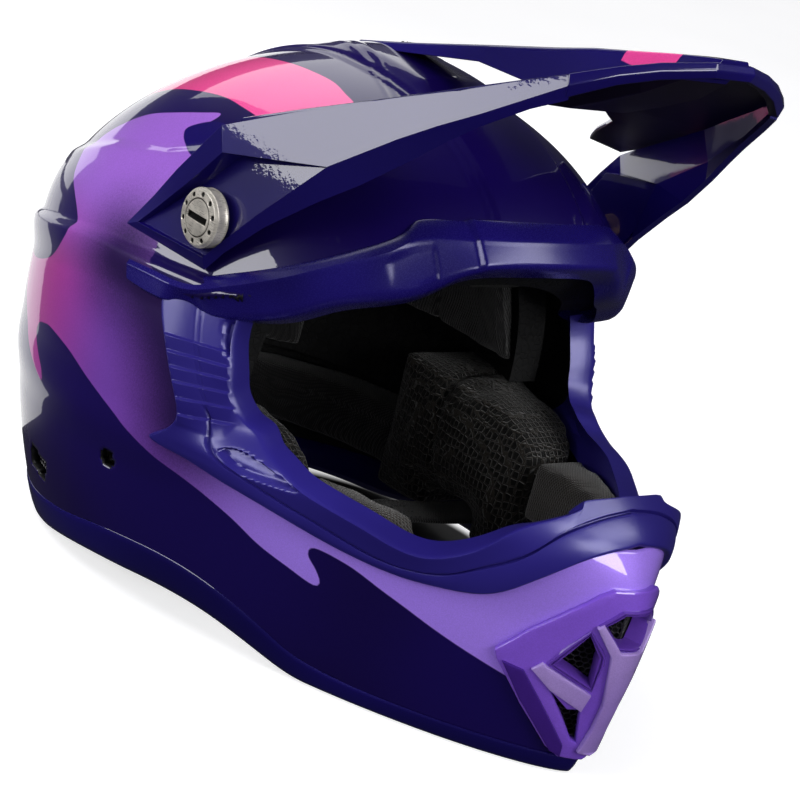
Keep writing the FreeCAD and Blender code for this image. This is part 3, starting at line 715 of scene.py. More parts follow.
def build_frame():
    outer, groove, inner = paired(FRAME_ROWS, 820)
    profile = [(0.0, -6.0), (0.0, 0.0), (0.004, 1.5), (0.03, 2.3)]
    profile += [(t, 2.5 + 0.5 * math.sin(t * 3)) for t in np.linspace(0.06, 0.9, 15)]
    profile += [(0.93, 2.6), (0.96, 1.5), (0.985, 1.0), (1.01, 1.0), (1.03, 1.5), (1.05, 2.7)]
    profile += [(1 + t, 2.9 + 0.6 * t) for t in np.linspace(0.08, 0.9, 12)]
    profile += [(1.94, 3.4), (1.98, 2.7), (2.0, 1.4), (2.0, -2.0), (1.99, -5.0), (1.97, -9.0),
                (1.7, -9.0), (1.0, -6.5)]
    obj = profile_ribbon("port_frame", (outer, groove, inner), profile, lift=frame_lift)
    sharpen(obj, 38)
    return finish_piece(obj, "shell_body", "satin_trim",
                        satin_plastic("frame_satin", rgb(46, 38, 132), rgb(36, 28, 112)),
                        "eye_port_frame")


# Brow: top edge, fold and bottom edge, from its rear end to the middle of the forehead.
BROW_ROWS = [
    ((-13, 146.5), (-11, 141.5), (-8, 135.5)),
    ((6, 147.5), (8, 142.5), (6.5, 135)),
    ((20, 149), (22, 143.5), (18, 135.5)),
    ((31, 154), (33, 148), (29.5, 136)),
    ((43, 160.5), (44, 154), (38.5, 138.8)),
    ((56, 169), (57, 162.5), (52.5, 144.5)),
    ((67, 178.5), (68, 172), (66, 153.5)),
    ((74, 189), (77, 181), (78, 163)),
    ((-55, 75, 194.5), (-57, 80, 187), (-58, 88, 171.5)),
    ((-42, 82, 197), (-44, 87, 189.5), (-45, 94, 178.5)),
    ((-24, 87, 198.6), (-25, 92, 191), (-26, 98, 183)),
    ((-10, 89, 199.2), (-10, 94, 191.8), (-10, 100, 184)),
    ((0, 89.5, 199.4), (0, 94.5, 192), (0, 101, 184.2)),
]


BROW_TUCK = 9.0              # how far the lower edge of the brow turns in at the sides


def brow_lift(line, where, height):
    """Raised centre block and stepped corners on the front of the brow."""
    p = on_shell(line[:, 0], line[:, 1])
    x = np.abs(p[:, 0])
    ahead = smoothstep((line[:, 1] - 168) / 12.0)
    ahead = ahead * (height > 0.5)
    block = 2.0 * (1 - smoothstep((x - 36) / 2.5)) * ahead
    notch = -1.0 * smoothstep((x - 52) / 2.0) * (1 - smoothstep((x - 68) / 2.0)) * ahead * \
        (1.0 if 1.15 < where < 1.8 else 0.0)
    tuck = -BROW_TUCK * max(where - 1.0, 0.0) * smoothstep((x - 34) / 36.0) * \
        smoothstep((p[:, 1] - 10) / 14.0)
    return block + notch + tuck


def build_brow():
    top, fold, low = paired(BROW_ROWS, 330)
    profile = [(0.0, -8.0), (0.0, -0.5), (0.02, 0.6), (0.1, 1.2), (0.5, 2.6), (0.88, 3.9),
               (0.97, 4.2), (1.03, 4.2)]
    profile += [(1 + t, 4.1 - 0.5 * t) for t in np.linspace(0.12, 0.84, 10)]
    profile += [(1.9, 3.2), (1.96, 2.4), (2.0, 1.0), (2.0, -2.0), (1.98, -8.5), (1.5, -8.5)]
    obj = profile_ribbon("brow", (top, fold, low), profile, lift=brow_lift)
    sharpen(obj, 38)
    return finish_piece(obj, "shell_body", "satin_trim",
                        satin_plastic("brow_satin", rgb(30, 20, 112), rgb(20, 12, 84), 0.26),
                        "brow_trim")


# Base rim: seam and lower edge as (bearing in degrees, height), from the rear to the nose.
RIM_SEAM = [(180, 12), (155, 12.2), (136, 13), (118, 15.5), (111, 17), (98, 21), (87.5, 25.5),
            (75, 29), (64, 30), (55, 28), (48, 24), (42, 19), (36.5, 13.5), (32, 11), (24, 9.2),
            (10, 8.8), (0, 8.8)]
RIM_LOW = [(180, 0), (155, 0), (136, 0), (118, 0), (106, 3), (92, 8), (78, 11), (70, 12.4),
           (62, 12.8), (54, 11.5), (47, 8.4), (41, 4.6), (36.5, 1.6), (32, 0), (24, 0),
           (10, 0), (0, 0)]


def build_rim():
    seam = [(math.radians(a) * 100, z) for a, z in RIM_SEAM]
    low = [(math.radians(a) * 100, z) for a, z in RIM_LOW]
    chord = np.linspace(0, 1, len(seam))
    lines = []
    for edge in (seam, low):
        line = spline(chord, np.array(edge), np.linspace(0, 1, 360))
        line[:, 1] = np.maximum(line[:, 1], 0.0 if edge is low else 6.0)
        lines.append(np.stack([line[:, 0] / 100, line[:, 1]], -1))
    profile = [(0.0, -1.4), (0.02, -0.2), (0.06, 0.35), (0.2, 0.6), (0.45, 0.6), (0.7, 0.5),
               (0.86, 0.2), (0.95, -0.5), (0.99, -1.5), (1.0, -2.6), (0.99, -3.8), (0.94, -4.7),
               (0.85, -5.0), (0.4, -5.0), (0.05, -5.0), (0.0, -4.0)]
    obj = profile_ribbon("base_rim_piece", lines, profile, crossing="both")
    return finish_piece(obj, "shell_body", "rim_gloss",
                        gloss("rim_lacquer", rgb(14, 6, 76), rgb(20, 10, 94), 0.2),
                        "base_rim")


# ------------------------------------------------------------------ flat plates, then bent
def flat_plate(name, loops, thickness, rounding, pitch, steps=1):
    """Plate with rounded edges cut from closed (a, b) loops, the first one outside and the
    rest holes, sliced every pitch millimetres so that it can be bent."""
    curve = bpy.data.curves.new(name + "_outline", "CURVE")
    curve.dimensions, curve.fill_mode = "2D", "BOTH"
    curve.extrude, curve.bevel_depth = thickness / 2 - rounding, rounding
    curve.bevel_resolution, curve.offset = steps, -rounding
    for loop in loops:
        s = curve.splines.new("POLY")
        s.points.add(len(loop) - 1)
        for point, (a, b) in zip(s.points, loop):
            point.co = (a, b, 0, 1)
        s.use_cyclic_u = True
    holder = bpy.data.objects.new(name + "_outline", curve)
    bpy.context.scene.collection.objects.link(holder)
    dg = bpy.context.evaluated_depsgraph_get()
    mesh = bpy.data.meshes.new_from_object(holder.evaluated_get(dg), depsgraph=dg)
    bpy.data.objects.remove(holder)
    bm = bmesh.new()
    bm.from_mesh(mesh)
    bmesh.ops.remove_doubles(bm, verts=bm.verts, dist=0.01)
    flat = np.array(loops[0], float)
    for axis in (0, 1):
        low, high = flat[:, axis].min(), flat[:, axis].max()
        normal = Vector((1, 0, 0)) if axis == 0 else Vector((0, 1, 0))
        for k in range(1, int((high - low) / pitch) + 1):
            place = normal * (low + k * pitch)
            bmesh.ops.bisect_plane(bm, geom=bm.verts[:] + bm.edges[:] + bm.faces[:],
                                   plane_co=place, plane_no=normal, dist=0.001)
    bmesh.ops.recalc_face_normals(bm, faces=bm.faces)
    bm.to_mesh(mesh)
    bm.free()
    obj = bpy.data.objects.new(name, mesh)
    bpy.context.scene.collection.objects.link(obj)
    return obj


def vertices(obj):
    co = np.zeros(len(obj.data.vertices) * 3)
    obj.data.vertices.foreach_get("co", co)
    return co.reshape(-1, 3)


def move_vertices(obj, points):
    obj.data.vertices.foreach_set("co", np.asarray(points, np.float32).ravel())
    obj.data.update()


def mirrored_loop(half):
    """Half outline (from the middle line out and back to it) closed by its mirror image."""
    return half + [(-x, z) for x, z in reversed(half) if abs(x) > 1e-6]


def join(parts, name):
    """Several objects made into one."""
    bm = bmesh.new()
    for obj in parts:
        bm.from_mesh(obj.data)
        bpy.data.objects.remove(obj)
    mesh = bpy.data.meshes.new(name)
    bm.to_mesh(mesh)
    bm.free()
    obj = bpy.data.objects.new(name, mesh)
    bpy.context.scene.collection.objects.link(obj)
    return obj


# ------------------------------------------------------------------ mouthpiece
MOUTH_OUTLINE = [(0, 86.5), (11, 86), (15.5, 83), (23, 74), (31, 62), (37.5, 49.5), (36.2, 46),
                 (25, 29), (13, 13.2), (8, 9.6), (0, 9.4)]
CENTRE_VENT = [(-11.5, 71.4), (-5.8, 77.4), (5.8, 77.4), (11.5, 71.4), (4.8, 63.4), (-4.8, 63.4)]
UPPER_VENT = [(21.5, 51), (14.6, 67), (9, 58), (8, 44)]
LOWER_VENT = [(18.5, 38), (12, 32), (8, 33), (4.2, 17.5), (6.4, 18.6)]
STEM = [(0, 62.5), (3.4, 62), (11.8, 72.6), (13.6, 70.8), (6.2, 59.5), (4.6, 50), (2.4, 38),
        (2.2, 26), (3.2, 14.5), (0, 13.5)]
CHEVRON = [(26.6, 46.6), (24.4, 50.4), (22.6, 49.2), (9.2, 42.4), (7, 41), (7.8, 33), (19.5, 39.6)]
SIDE_STRAKE = [(34.6, 46.4), (28.4, 45), (8.2, 16), (7.4, 10.6), (11.4, 12.4), (26, 32)]


def front_bearing(x, z):
    """Bearing of the point of the nose that has this x."""
    out = np.zeros(len(x))
    near = TABLE_B[:150]
    for k, (a, b) in enumerate(zip(np.abs(x), z)):
        reach = read_table(RADIUS, near, np.full(len(near), b)) * np.sin(near)
        out[k] = np.interp(a, reach, near)
    return out


def nose_plate(name, loops, thickness, rounding, proud):
    """Plate bent over the nose; proud is the height of its outer face over the shell."""
    obj = flat_plate(name, loops, thickness, rounding, 3.0)
    p = vertices(obj)
    bearing = front_bearing(p[:, 0], p[:, 1])
    off = proud - thickness / 2 + p[:, 2]
    bent = on_shell(bearing, p[:, 1], off)
    bent[:, 0] *= np.where(p[:, 0] < 0, -1, 1)
    move_vertices(obj, to_row(bent))
    outward(obj)
    return obj


def flip_x(loop):
    return [(-x, z) for x, z in reversed(loop)]


def shrink(loop, amount):
    """Loop pulled in towards its middle by amount at each corner."""
    p = np.array(loop, float)
    middle = p.mean(0)
    d = p - middle
    return (middle + d * (1 - amount / np.linalg.norm(d, axis=1, keepdims=True))).tolist()


def vent_rim(loop, shape):
    """Raised double rim round an opening; shape lists (distance inside the loop, height)."""
    corners = np.array(loop, float)
    steps = np.linspace(0, 1, 8, endpoint=False)[:, None]
    line = np.concatenate([p + (q - p) * steps for p, q in zip(corners, np.roll(corners, -1, 0))])
    rows = []
    for inset, height in shape:
        flat = np.array(shrink(line, inset))
        row = on_shell(front_bearing(flat[:, 0], flat[:, 1]), flat[:, 1], height)
        row[:, 0] *= np.where(flat[:, 0] < 0, -1, 1)
        rows.append(row)
    rows = np.array(rows)
    obj = new_object("rim", to_row(rows.reshape(-1, 3)),
                     grid_faces(len(shape), len(line), loop_rows=True, loop_cols=True))
    outward(obj)
    return obj


RIM_SHAPE = [(-1.9, 1.0), (-1.9, 3.0), (-1.5, 3.9), (-0.9, 4.0), (-0.7, 3.2), (-0.3, 3.2),
             (-0.1, 4.0), (0.3, 3.9), (0.6, 3.0), (0.8, -3.6), (-0.6, -3.6)]


def build_mouthpiece():
    vents = [CENTRE_VENT, UPPER_VENT, flip_x(UPPER_VENT), LOWER_VENT, flip_x(LOWER_VENT)]
    plate = nose_plate("mouthpiece_piece", [mirrored_loop(MOUTH_OUTLINE)] + vents, 5.0, 0.8, 3.0)
    rims = join([vent_rim(loop, RIM_SHAPE) for loop in vents[:3]], "mouthpiece_rims")
    bars = [nose_plate("stem", [mirrored_loop(STEM)], 4.0, 0.7, 5.6)]
    strakes = []
    for loop in (CHEVRON, flip_x(CHEVRON)):
        bars.append(nose_plate("bar", [loop], 3.2, 0.5, 4.6))
    for loop in (SIDE_STRAKE, flip_x(SIDE_STRAKE)):
        strakes.append(nose_plate("bar", [loop], 3.2, 0.5, 4.4))
    for obj, colour, second, node in (
            (plate, rgb(126, 84, 206), rgb(112, 72, 190), ("mouthpiece",)),
            (rims, rgb(92, 56, 160), rgb(78, 44, 142), ()),
            (join(bars, "mouthpiece_bars"), rgb(164, 138, 206), rgb(140, 112, 190), ()),
            (join(strakes, "mouthpiece_strakes"), rgb(58, 28, 120), rgb(44, 18, 98), ())):
        sharpen(obj, 28)
        all_smooth(obj)
        finish_piece(obj, "shell_body", "mouth_gloss",
                     gloss(obj.name + "_lacquer", colour, second, 0.1), *node)


# ------------------------------------------------------------------ visor
ARM_PLAN = [(-40, 123.4), (-24, 122.5), (0, 120.5), (22, 117.5), (36, 113.4), (50, 108),
            (70, 100), (85, 93.3), (100, 85.5), (120, 74.5), (136, 64), (139, 59)]
ROOF = [
    (14, (117, 211), (52, 226), (12, 232)),
    (46, (108, 227), (50, 236), (15, 243)),
    (82, (93, 245), (47, 250), (18, 255)),
    (102, (83, 255.5), (45, 259.5), (19, 263)),
    (121, (72.5, 265.5), (43, 268), (19, 270.5)),
    (136, (62, 273.5), (40, 275.5), (18, 277.5)),
    (144, (46, 280), (34, 280.7), (17, 281.8)),
    (150, (31, 284.5), (26, 284.6), (15, 285)),
    (158, (10.5, 288.6), (9.8, 288.8), (9, 289)),
]
BRIDGE = [(-46, 3, 236.2, 4.5, 233.6), (-10, 6.5, 245.5, 9, 241), (40, 10, 259.4, 13.5, 252),
          (80, 13.6, 270.3, 18.5, 254), (100, 14.2, 276.2, 19, 261.5),
          (121, 14.2, 281.4, 19, 269.5), (136, 12.8, 285.3, 18, 276.6),
          (144, 11.8, 287.2, 17, 280.8), (150, 10.4, 288.5, 15, 284), (157.5, 8, 290, 9.4, 287.6)]
LIP = [(136, 62, 273.5, 9), (144, 46, 280, 7), (150, 31, 284.5, 6.5), (158, 10.5, 288.6, 6)]


def half_width(u):
    return np.interp(u, [p[0] for p in ARM_PLAN], [p[1] for p in ARM_PLAN])


def recess_floor(u, z):
    return 117.0 - 0.10 * (u - 26) - 0.218 * (z - 154)


def build_arm(side):
    """One side of the visor: panel with its tilted recess, upper and lower bands."""
    verts, index = [], {}

    def point(name, u, z, inset=0.0, x=None):
        index[name] = len(verts)
        verts.append(((half_width(u) - inset) if x is None else x, u, z))

    rear = [(-24, 155), (-12, 171), (-2, 186), (8, 199.5), (17.5, 211)]
    rim = [(-14.5, 159), (-5.5, 168.5), (3.5, 178.5), (12.5, 189), (22.5, 201.5)]
    for k, (a, b) in enumerate(zip(rear, rim)):
        point("R%d" % k, *a, inset=2.6 if k < 4 else 1.6)
        point("W%d" % k, *b)
    top = [(46, 226.5), (82, 245), (102, 255), (121, 265.3), (136, 273)]
    for k, a in enumerate(top):
        point("T%d" % k, *a, inset=(4, 5, 5, 4, 3)[k])
    fold = [(66, 211.5), (89, 231), (101, 240.5), (114, 250), (137.5, 269.5)]
    for k, a in enumerate(fold):
        point("F%d" % k, *a)
    low = [(26, 154), (33, 164), (47, 180), (65, 197), (79, 209), (94, 224), (105, 236),
           (114, 245), (128, 257), (137.5, 264)]
    for k, a in enumerate(low):
        point("L%d" % k, *a, inset=1.2)
    front_edge = [(25, 159), (31, 167), (43, 183), (66, 211.5)]
    for k, a in enumerate(front_edge[:3]):
        point("E%d" % k, *a)
    loop = ["W0", "W1", "W2", "W3", "W4", "F0", "E2", "E1", "E0"]
    for name in loop:
        x, u, z = verts[index[name]]
        inward = 0.9
        mid_u, mid_z = 22.0, 181.0
        d = math.hypot(mid_u - u, mid_z - z)
        fu, fz = u + (mid_u - u) / d * inward, z + (mid_z - z) / d * inward
        point("B" + name, fu, fz, x=min(recess_floor(fu, fz), half_width(fu) - 0.4))
    faces = [["R%d" % k, "R%d" % (k + 1), "W%d" % (k + 1), "W%d" % k] for k in range(4)]
    faces += [["R4", "T0", "F0", "W4"], ["T0", "T1", "F1", "F0"], ["T1", "T2", "F2", "F1"],
              ["T2", "T3", "F3", "F2"], ["T3", "T4", "F4", "F3"]]
    faces += [["R0", "W0", "E0", "L0"], ["L0", "E0", "E1", "L1"], ["L1", "E1", "E2", "L2"],
              ["L2", "E2", "F0", "L3"], ["L3", "F0", "L4"], ["L4", "F0", "F1", "L5"],
              ["L5", "F1", "F2", "L6"], ["L6", "F2", "L7"], ["L7", "F2", "F3", "L8"],
              ["L8", "F3", "F4", "L9"]]
    for a, b in zip(loop, loop[1:] + loop[:1]):
        faces.append([a, b, "B" + b, "B" + a])
    faces.append(["B" + n for n in loop])
    p = np.array(verts)
    p[:, 0] *= side
    obj = new_object("arm", to_row(p), [[index[n] for n in f] for f in faces], smooth=False)
    outward(obj)
    total = sum(f.normal.x * f.area for f in obj.data.polygons)
    if total * side < 0:
        obj.data.flip_normals()
    return obj


def roof_height(x, u):
    out = np.zeros(len(x))
    stations = np.array([[s[0]] + [v for pair in s[1:] for v in pair] for s in ROOF], float)
    for k in range(len(x)):
        row = [np.interp(u[k], stations[:, 0], stations[:, j]) for j in range(1, 7)]
        out[k] = np.interp(abs(x[k]), [row[4], row[2], row[0]], [row[5], row[3], row[1]])
    return out


def build_roof():
    half = [(0, 157.5), (10, 157.5), (31, 149.5), (46, 143.5), (60, 135.5), (69.5, 121),
            (79.5, 102), (89, 82), (97.5, 62), (104, 44), (108.5, 30),
            (110, 20), (86, 21), (74, 34), (58, 56), (23, 76), (0, 79)]
    obj = flat_plate("roof", [mirrored_loop(half)], 2.6, 0.6, 7.0)
    p = vertices(obj)
    height = roof_height(p[:, 0], p[:, 1])
    move_vertices(obj, to_row(np.stack([p[:, 0], p[:, 1], height - 1.3 + p[:, 2]], -1)))
    outward(obj)
    return obj


def build_bridge():
    rows = []
    for u, top, z_top, foot, z_foot in BRIDGE:
        wall = 2.4 if u > 60 else 1.2
        ring = [(-foot, z_foot), (-top - 0.5, z_top - 1.4), (-top + 0.6, z_top), (0, z_top + 0.3),
                (top - 0.6, z_top), (top + 0.5, z_top - 1.4), (foot, z_foot),
                (foot - wall, z_foot), (top - wall, z_top - wall), (0, z_top - wall),
                (wall - top, z_top - wall), (wall - foot, z_foot)]
        rows.append([(x, u, min(z, 290.0)) for x, z in ring])
    return closed_tube("bridge", rows)


def build_lip():
    """Front lip that hangs below the pointed front edge of the roof."""
    half = []
    for u, x, z, drop in LIP:
        half.append([(x, u, z), (x + 0.6, u + 1.6, z - drop * 0.45), (x - 0.6, u + 1.0, z - drop),
                     (x - 3.2, u - 1.8, z - drop), (x - 3.6, u - 2.6, z - 1.0)])
    return closed_tube("lip", half + [[(-x, u, z) for x, u, z in ring] for ring in reversed(half)])


CHANNEL = [(84, 15, 248), (98, 16, 251), (115, 17, 259), (132, 17, 268), (146, 13, 278)]


def build_channel():
    """Air channel that hangs below the middle of the roof."""
    rows = []
    for u, half, z in CHANNEL:
        roof = roof_height([0.0], [u])[0] - 2.0
        rows.append([(x, u, h) for x, h in (
            (-half - 3, roof), (-half, z), (half, z), (half + 3, roof), (half + 0.6, roof),
            (half - 2, z + 2), (2 - half, z + 2), (-half - 0.6, roof))])
    return closed_tube("channel", rows)


def visor_paint(name, pink_patch=False):
    """Indigo lacquer, with a pink patch on the bridge when pink_patch is set."""
    s = Shader(name)
    place = s.place()
    apart = s.node("ShaderNodeSeparateXYZ", {"Vector": place})
    drift = s.span(s.noise(8.0, 1.0), 0.35, 0.65)
    colour = s.blend(drift, rgb(22, 9, 106), rgb(14, 5, 78))
    if pink_patch:
        along_y = s.math("MULTIPLY", s.span(apart.outputs["Y"], -0.100, -0.1005),
                         s.span(apart.outputs["Y"], -0.1255, -0.125))
        patch = s.math("MULTIPLY", along_y, s.span(apart.outputs["Z"], 0.276, 0.2765))
        colour = s.blend(patch, colour, rgb(232, 70, 152))
    return lacquer(s, colour, metallic=0.12)


def underside_dark(name):
    """Dark, dull material for the faces of the visor that look down."""
    s = Shader(name)
    grain = s.noise(900.0, 3.0)
    s.set(Base_Color=s.blend(grain, rgb(13, 6, 22), rgb(22, 12, 36)), Roughness=0.42)
    s.surface.inputs["Specular IOR Level"].default_value = 0.35
    s.set(Normal=s.bump(grain, 0.15, 0.0003))
    return s.material


def split_underside(obj, material):
    """Second material on the faces that look down."""
    obj.data.materials.append(material)
    for face in obj.data.polygons:
        if face.normal.z < -0.35:
            face.material_index = len(obj.data.materials) - 1


def build_visor():
    paint = visor_paint("visor_lacquer")
    under = underside_dark("visor_underside")
    arms = join([build_arm(1), build_arm(-1)], "visor_arms")
    thick = arms.modifiers.new("sheet", "SOLIDIFY")
    thick.thickness, thick.offset = 3.0 * MM, -1
    thick.use_even_offset = True
    bevel(arms, 0.7, 2, 12)
    all_smooth(arms)
    weighted(arms)
    finish_piece(arms, "visor_body", "visor_paint", paint, "visor")
    roof = build_roof()
    sharpen(roof, 25)
    all_smooth(roof)
    finish_piece(roof, "visor_body", "visor_paint", paint)
    split_underside(roof, under)
    roof.name = "visor_roof"
    for obj, name in ((build_bridge(), "visor_bridge"), (build_lip(), "visor_lip"),
                      (build_channel(), "visor_channel")):
        bevel(obj, 0.6, 2, 15)
        all_smooth(obj)
        weighted(obj)
        top = visor_paint("bridge_lacquer", True) if name == "visor_bridge" else paint
        finish_piece(obj, "visor_body", "visor_paint", top)
        split_underside(obj, under)
        obj.name = name


# ------------------------------------------------------------------ screws and hardware
SCREW = (113.7, 21.0, 174.0)     # x, u, z of the underside of the head
HEAD_RADIUS, HEAD_HEIGHT = 12.0, 7.5


def screw_face(r, turn):
    """Height of the head's face: domed, with a coin slot, two ring grooves and dimples."""
    height = HEAD_HEIGHT - 0.9 * (r / HEAD_RADIUS) ** 2
    x, y = r * np.cos(turn), r * np.sin(turn)
    slot = smoothstep((1.5 - np.abs(y)) / 0.5) * smoothstep((6.4 - np.abs(x)) / 0.6)
    ring = smoothstep((0.45 - np.abs(r - 7.6)) / 0.35)
    height = height - 1.3 * slot - 0.5 * ring
    for k in range(10):
        a = 2 * math.pi * k / 10 + math.pi / 10
        d = np.hypot(x - 9.5 * math.cos(a), y - 9.5 * math.sin(a))
        height = height - 0.9 * smoothstep((1.15 - d) / 0.45)
    edge = smoothstep((r - 10.9) / 1.1)
    return height - 1.1 * edge


def build_screw(side):
    radii = np.concatenate([np.linspace(0.2, 10.8, 54), np.linspace(11.0, 12.0, 8)])
    count = 160
    turn = np.arange(count) * 2 * math.pi / count
    rows = []
    for r in radii:
        rows.append(np.stack([r * np.cos(turn), r * np.sin(turn), screw_face(r, turn)], -1))
    knurl = 0.18 * np.abs(np.sin(turn * 40))
    for r, h in ((12.0, 4.4), (11.9, 4.0), (11.9, 1.4), (12.0, 1.0), (11.6, 0.2), (4.0, 0.0),
                 (4.0, -13.0), (3.4, -13.8), (0.2, -13.8)):
        trim = knurl if 1.2 < h < 4.2 else 0.0
        rows.append(np.stack([(r - trim) * np.cos(turn), (r - trim) * np.sin(turn),
                              np.full(count, h)], -1))
    p = np.array(rows).reshape(-1, 3)
    faces = [tuple(f) for f in grid_faces(len(rows), count, loop_cols=True)]
    faces += [tuple(range(count)), tuple((len(rows) - 1) * count + k for k in range(count))[::-1]]
    cut = np.zeros((len(rows), count))
    for k, r in enumerate(radii):
        dome = HEAD_HEIGHT - 0.9 * (r / HEAD_RADIUS) ** 2 - 1.1 * smoothstep((r - 10.9) / 1.1)
        cut[k] = dome - screw_face(r, turn)
    placed = np.stack([side * (SCREW[0] + p[:, 2]), SCREW[1] + p[:, 0], SCREW[2] + p[:, 1]], -1)
    name = ("left" if side > 0 else "right") + "_screw"
    obj = new_object(name, to_row(placed), faces)
    # Depth of each point below the plain dome, which the metal darkens as painted shade.
    set_attribute(obj, "groove", cut.ravel())
    outward(obj)
    sharpen(obj, 45)
    return finish_piece(obj, name + "_body", "screw_metal",
                        brushed_metal("screw_" + name[0], (222, 216, 206), grooves=True),
                        name.replace("_screw", "_visor_screw"))


def brushed_metal(name, tint=(186, 182, 174), roughness=0.3, grooves=False):
    s = Shader(name + "_metal")
    place = s.place()
    streak = s.node("ShaderNodeVectorMath", {0: place, 1: (300.0, 300.0, 4000.0)},
                    operation="MULTIPLY")
    lines = s.noise(1.0, 3.0, streak.outputs[0])
    patina = s.span(s.noise(160.0, 3.0), 0.35, 0.7)
    bright = rgb(*tint)
    dull = rgb(*[int(c * 0.84) for c in tint])
    colour = s.blend(patina, bright, dull)
    # Painted shade: the coin slot, ring grooves and dimples of the head darken with their depth.
    if grooves:
        colour = s.blend(s.span(s.attribute("groove"), 0.12, 0.5), colour, rgb(16, 15, 15))
    s.set(Base_Color=colour, Metallic=0.5,
          Roughness=s.span(lines, 0.2, 0.8, roughness - 0.07, roughness + 0.12))
    s.set(Normal=s.bump(lines, 0.15, 0.0002))
    return s.material


# ------------------------------------------------------------------ soft materials
def knit(name, colour, second, pitch, roughness=0.85, depth=0.0006):
    """Fine ribbed knit: two crossed wave bands and a fuzz of noise."""
    s = Shader(name)
    place = s.place()
    bands = []
    for axis in ((1.0, 1.0, 0.35), (1.0, -1.0, 0.8)):
        turned = s.node("ShaderNodeVectorMath", {0: place, 1: axis}, operation="DOT_PRODUCT")
        wave = s.math("SINE", s.math("MULTIPLY", turned.outputs["Value"], 2 * math.pi / pitch))
        bands.append(s.span(wave, -1.0, 1.0))
    weave = s.math("MAXIMUM", bands[0], bands[1])
    fuzz = s.noise(900.0, 3.0, place)
    height = s.math("MULTIPLY_ADD", fuzz, 0.35, weave)
    s.set(Base_Color=s.blend(s.span(height, 0.3, 1.2), second, colour), Roughness=roughness,
          Sheen_Weight=0.25, Sheen_Roughness=0.5)
    s.surface.inputs["Specular IOR Level"].default_value = 0.25
    s.set(Normal=s.bump(height, 0.8, depth))
    return s.material


def spacer_fabric(name):
    """Open warp-knit mesh: rounded cells of about 3 mm in rows, threads standing proud."""
    s = Shader(name)
    place = s.place()
    stretch = s.node("ShaderNodeVectorMath", {0: place, 1: (1.0, 1.0, 0.72)},
                     operation="MULTIPLY")
    cells = s.node("ShaderNodeTexVoronoi", {"Vector": stretch.outputs[0], "Scale": 360.0,
                                            "Randomness": 0.38}, feature="DISTANCE_TO_EDGE")
    thread = s.span(cells.outputs["Distance"], 0.16, 0.05)
    twist = s.math("MULTIPLY_ADD", s.noise(1500.0, 3.0, place), 0.4, thread)
    # The near-black cells are painted shade in the openings; the threads' dark grey is the
    # fabric's own colour, darkened further as painted shade for the inside of the helmet.
    s.set(Base_Color=s.blend(thread, rgb(4, 4, 4), rgb(36, 33, 29)), Roughness=0.8,
          Sheen_Weight=0.2, Sheen_Roughness=0.4)
    s.surface.inputs["Specular IOR Level"].default_value = 0.2
    s.set(Normal=s.bump(twist, 1.0, 0.0012))
    return s.material


def bead_foam(name):
    """Moulded bead foam: flattened cells with fine seams between them."""
    s = Shader(name)
    place = s.place()
    cells = s.node("ShaderNodeTexVoronoi", {"Vector": place, "Scale": 300.0,
                                            "Randomness": 0.9}, feature="DISTANCE_TO_EDGE")
    shade = s.node("ShaderNodeTexVoronoi", {"Vector": place, "Scale": 300.0,
                                            "Randomness": 0.9}).outputs["Color"]
    tone = s.node("ShaderNodeSeparateColor", {"Color": shade}).outputs[0]
    seam = s.span(cells.outputs["Distance"], 0.0, 0.12)
    body = s.blend(tone, rgb(9, 9, 10), rgb(15, 15, 16))
    s.set(Base_Color=s.blend(seam, rgb(6, 6, 7), body), Roughness=0.78)
    s.surface.inputs["Specular IOR Level"].default_value = 0.3
    s.set(Normal=s.bump(seam, 0.5, 0.0006))
    return s.material


def webbing_weave(name, colour=(26, 25, 27)):
    """Woven belt: herringbone ribs across the width and fine picks along it."""
    s = Shader(name)
    place = s.place()
    apart = s.node("ShaderNodeSeparateXYZ", {"Vector": place})
    slant = s.math("PINGPONG", apart.outputs["Y"], 0.0028)
    path = s.math("ADD", apart.outputs["X"], slant)
    rib = s.math("SINE", s.math("MULTIPLY", path, 2 * math.pi / 0.0016))
    pick = s.math("SINE", s.math("MULTIPLY", apart.outputs["Y"], 2 * math.pi / 0.0009))
    height = s.math("MULTIPLY_ADD", s.span(pick, -1.0, 1.0), 0.4, s.span(rib, -1.0, 1.0))
    bright = rgb(*colour)
    dark = rgb(*[int(c * 0.45) for c in colour])
    s.set(Base_Color=s.blend(s.span(height, 0.2, 1.3), dark, bright), Roughness=0.62,
          Sheen_Weight=0.15, Sheen_Roughness=0.4)
    s.set(Normal=s.bump(height, 0.7, 0.0004))
    return s.material


def thread_fibre(name):
    s = Shader(name)
    place = s.place()
    ply = s.noise(2600.0, 2.0, place)
    s.set(Base_Color=s.blend(ply, rgb(26, 25, 28), rgb(58, 56, 60)), Roughness=0.6)
    s.set(Normal=s.bump(ply, 0.4, 0.0002))
    return s.material


# ------------------------------------------------------------------ pads
def filled_mesh(node, name, voxel, inset):
    """Remeshed copy of a CAD pad, drawn in along its normals by inset millimetres."""
    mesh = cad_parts[node].data.copy()
    mesh.materials.clear()
    obj = bpy.data.objects.new(name, mesh)
    bpy.context.scene.collection.objects.link(obj)
    remesh = obj.modifiers.new("voxels", "REMESH")
    remesh.mode, remesh.voxel_size = "VOXEL", voxel * MM
    apply_modifiers(obj)
    relax(obj, 2, 0.5)
    p = vertices(obj)
    normals = np.array([v.normal for v in obj.data.vertices])
    move_vertices(obj, p - normals * inset * MM)
    return obj


def apply_modifiers(obj):
    """The object's mesh replaced by what its modifiers make of it."""
    dg = bpy.context.evaluated_depsgraph_get()
    mesh = bpy.data.meshes.new_from_object(obj.evaluated_get(dg), depsgraph=dg)
    obj.modifiers.clear()
    obj.data = mesh


def relax(obj, times, share):
    with editing(obj.data) as bm:
        for _ in range(times):
            bmesh.ops.smooth_vert(bm, verts=bm.verts, factor=share, use_axis_x=True,
                                  use_axis_y=True, use_axis_z=True)


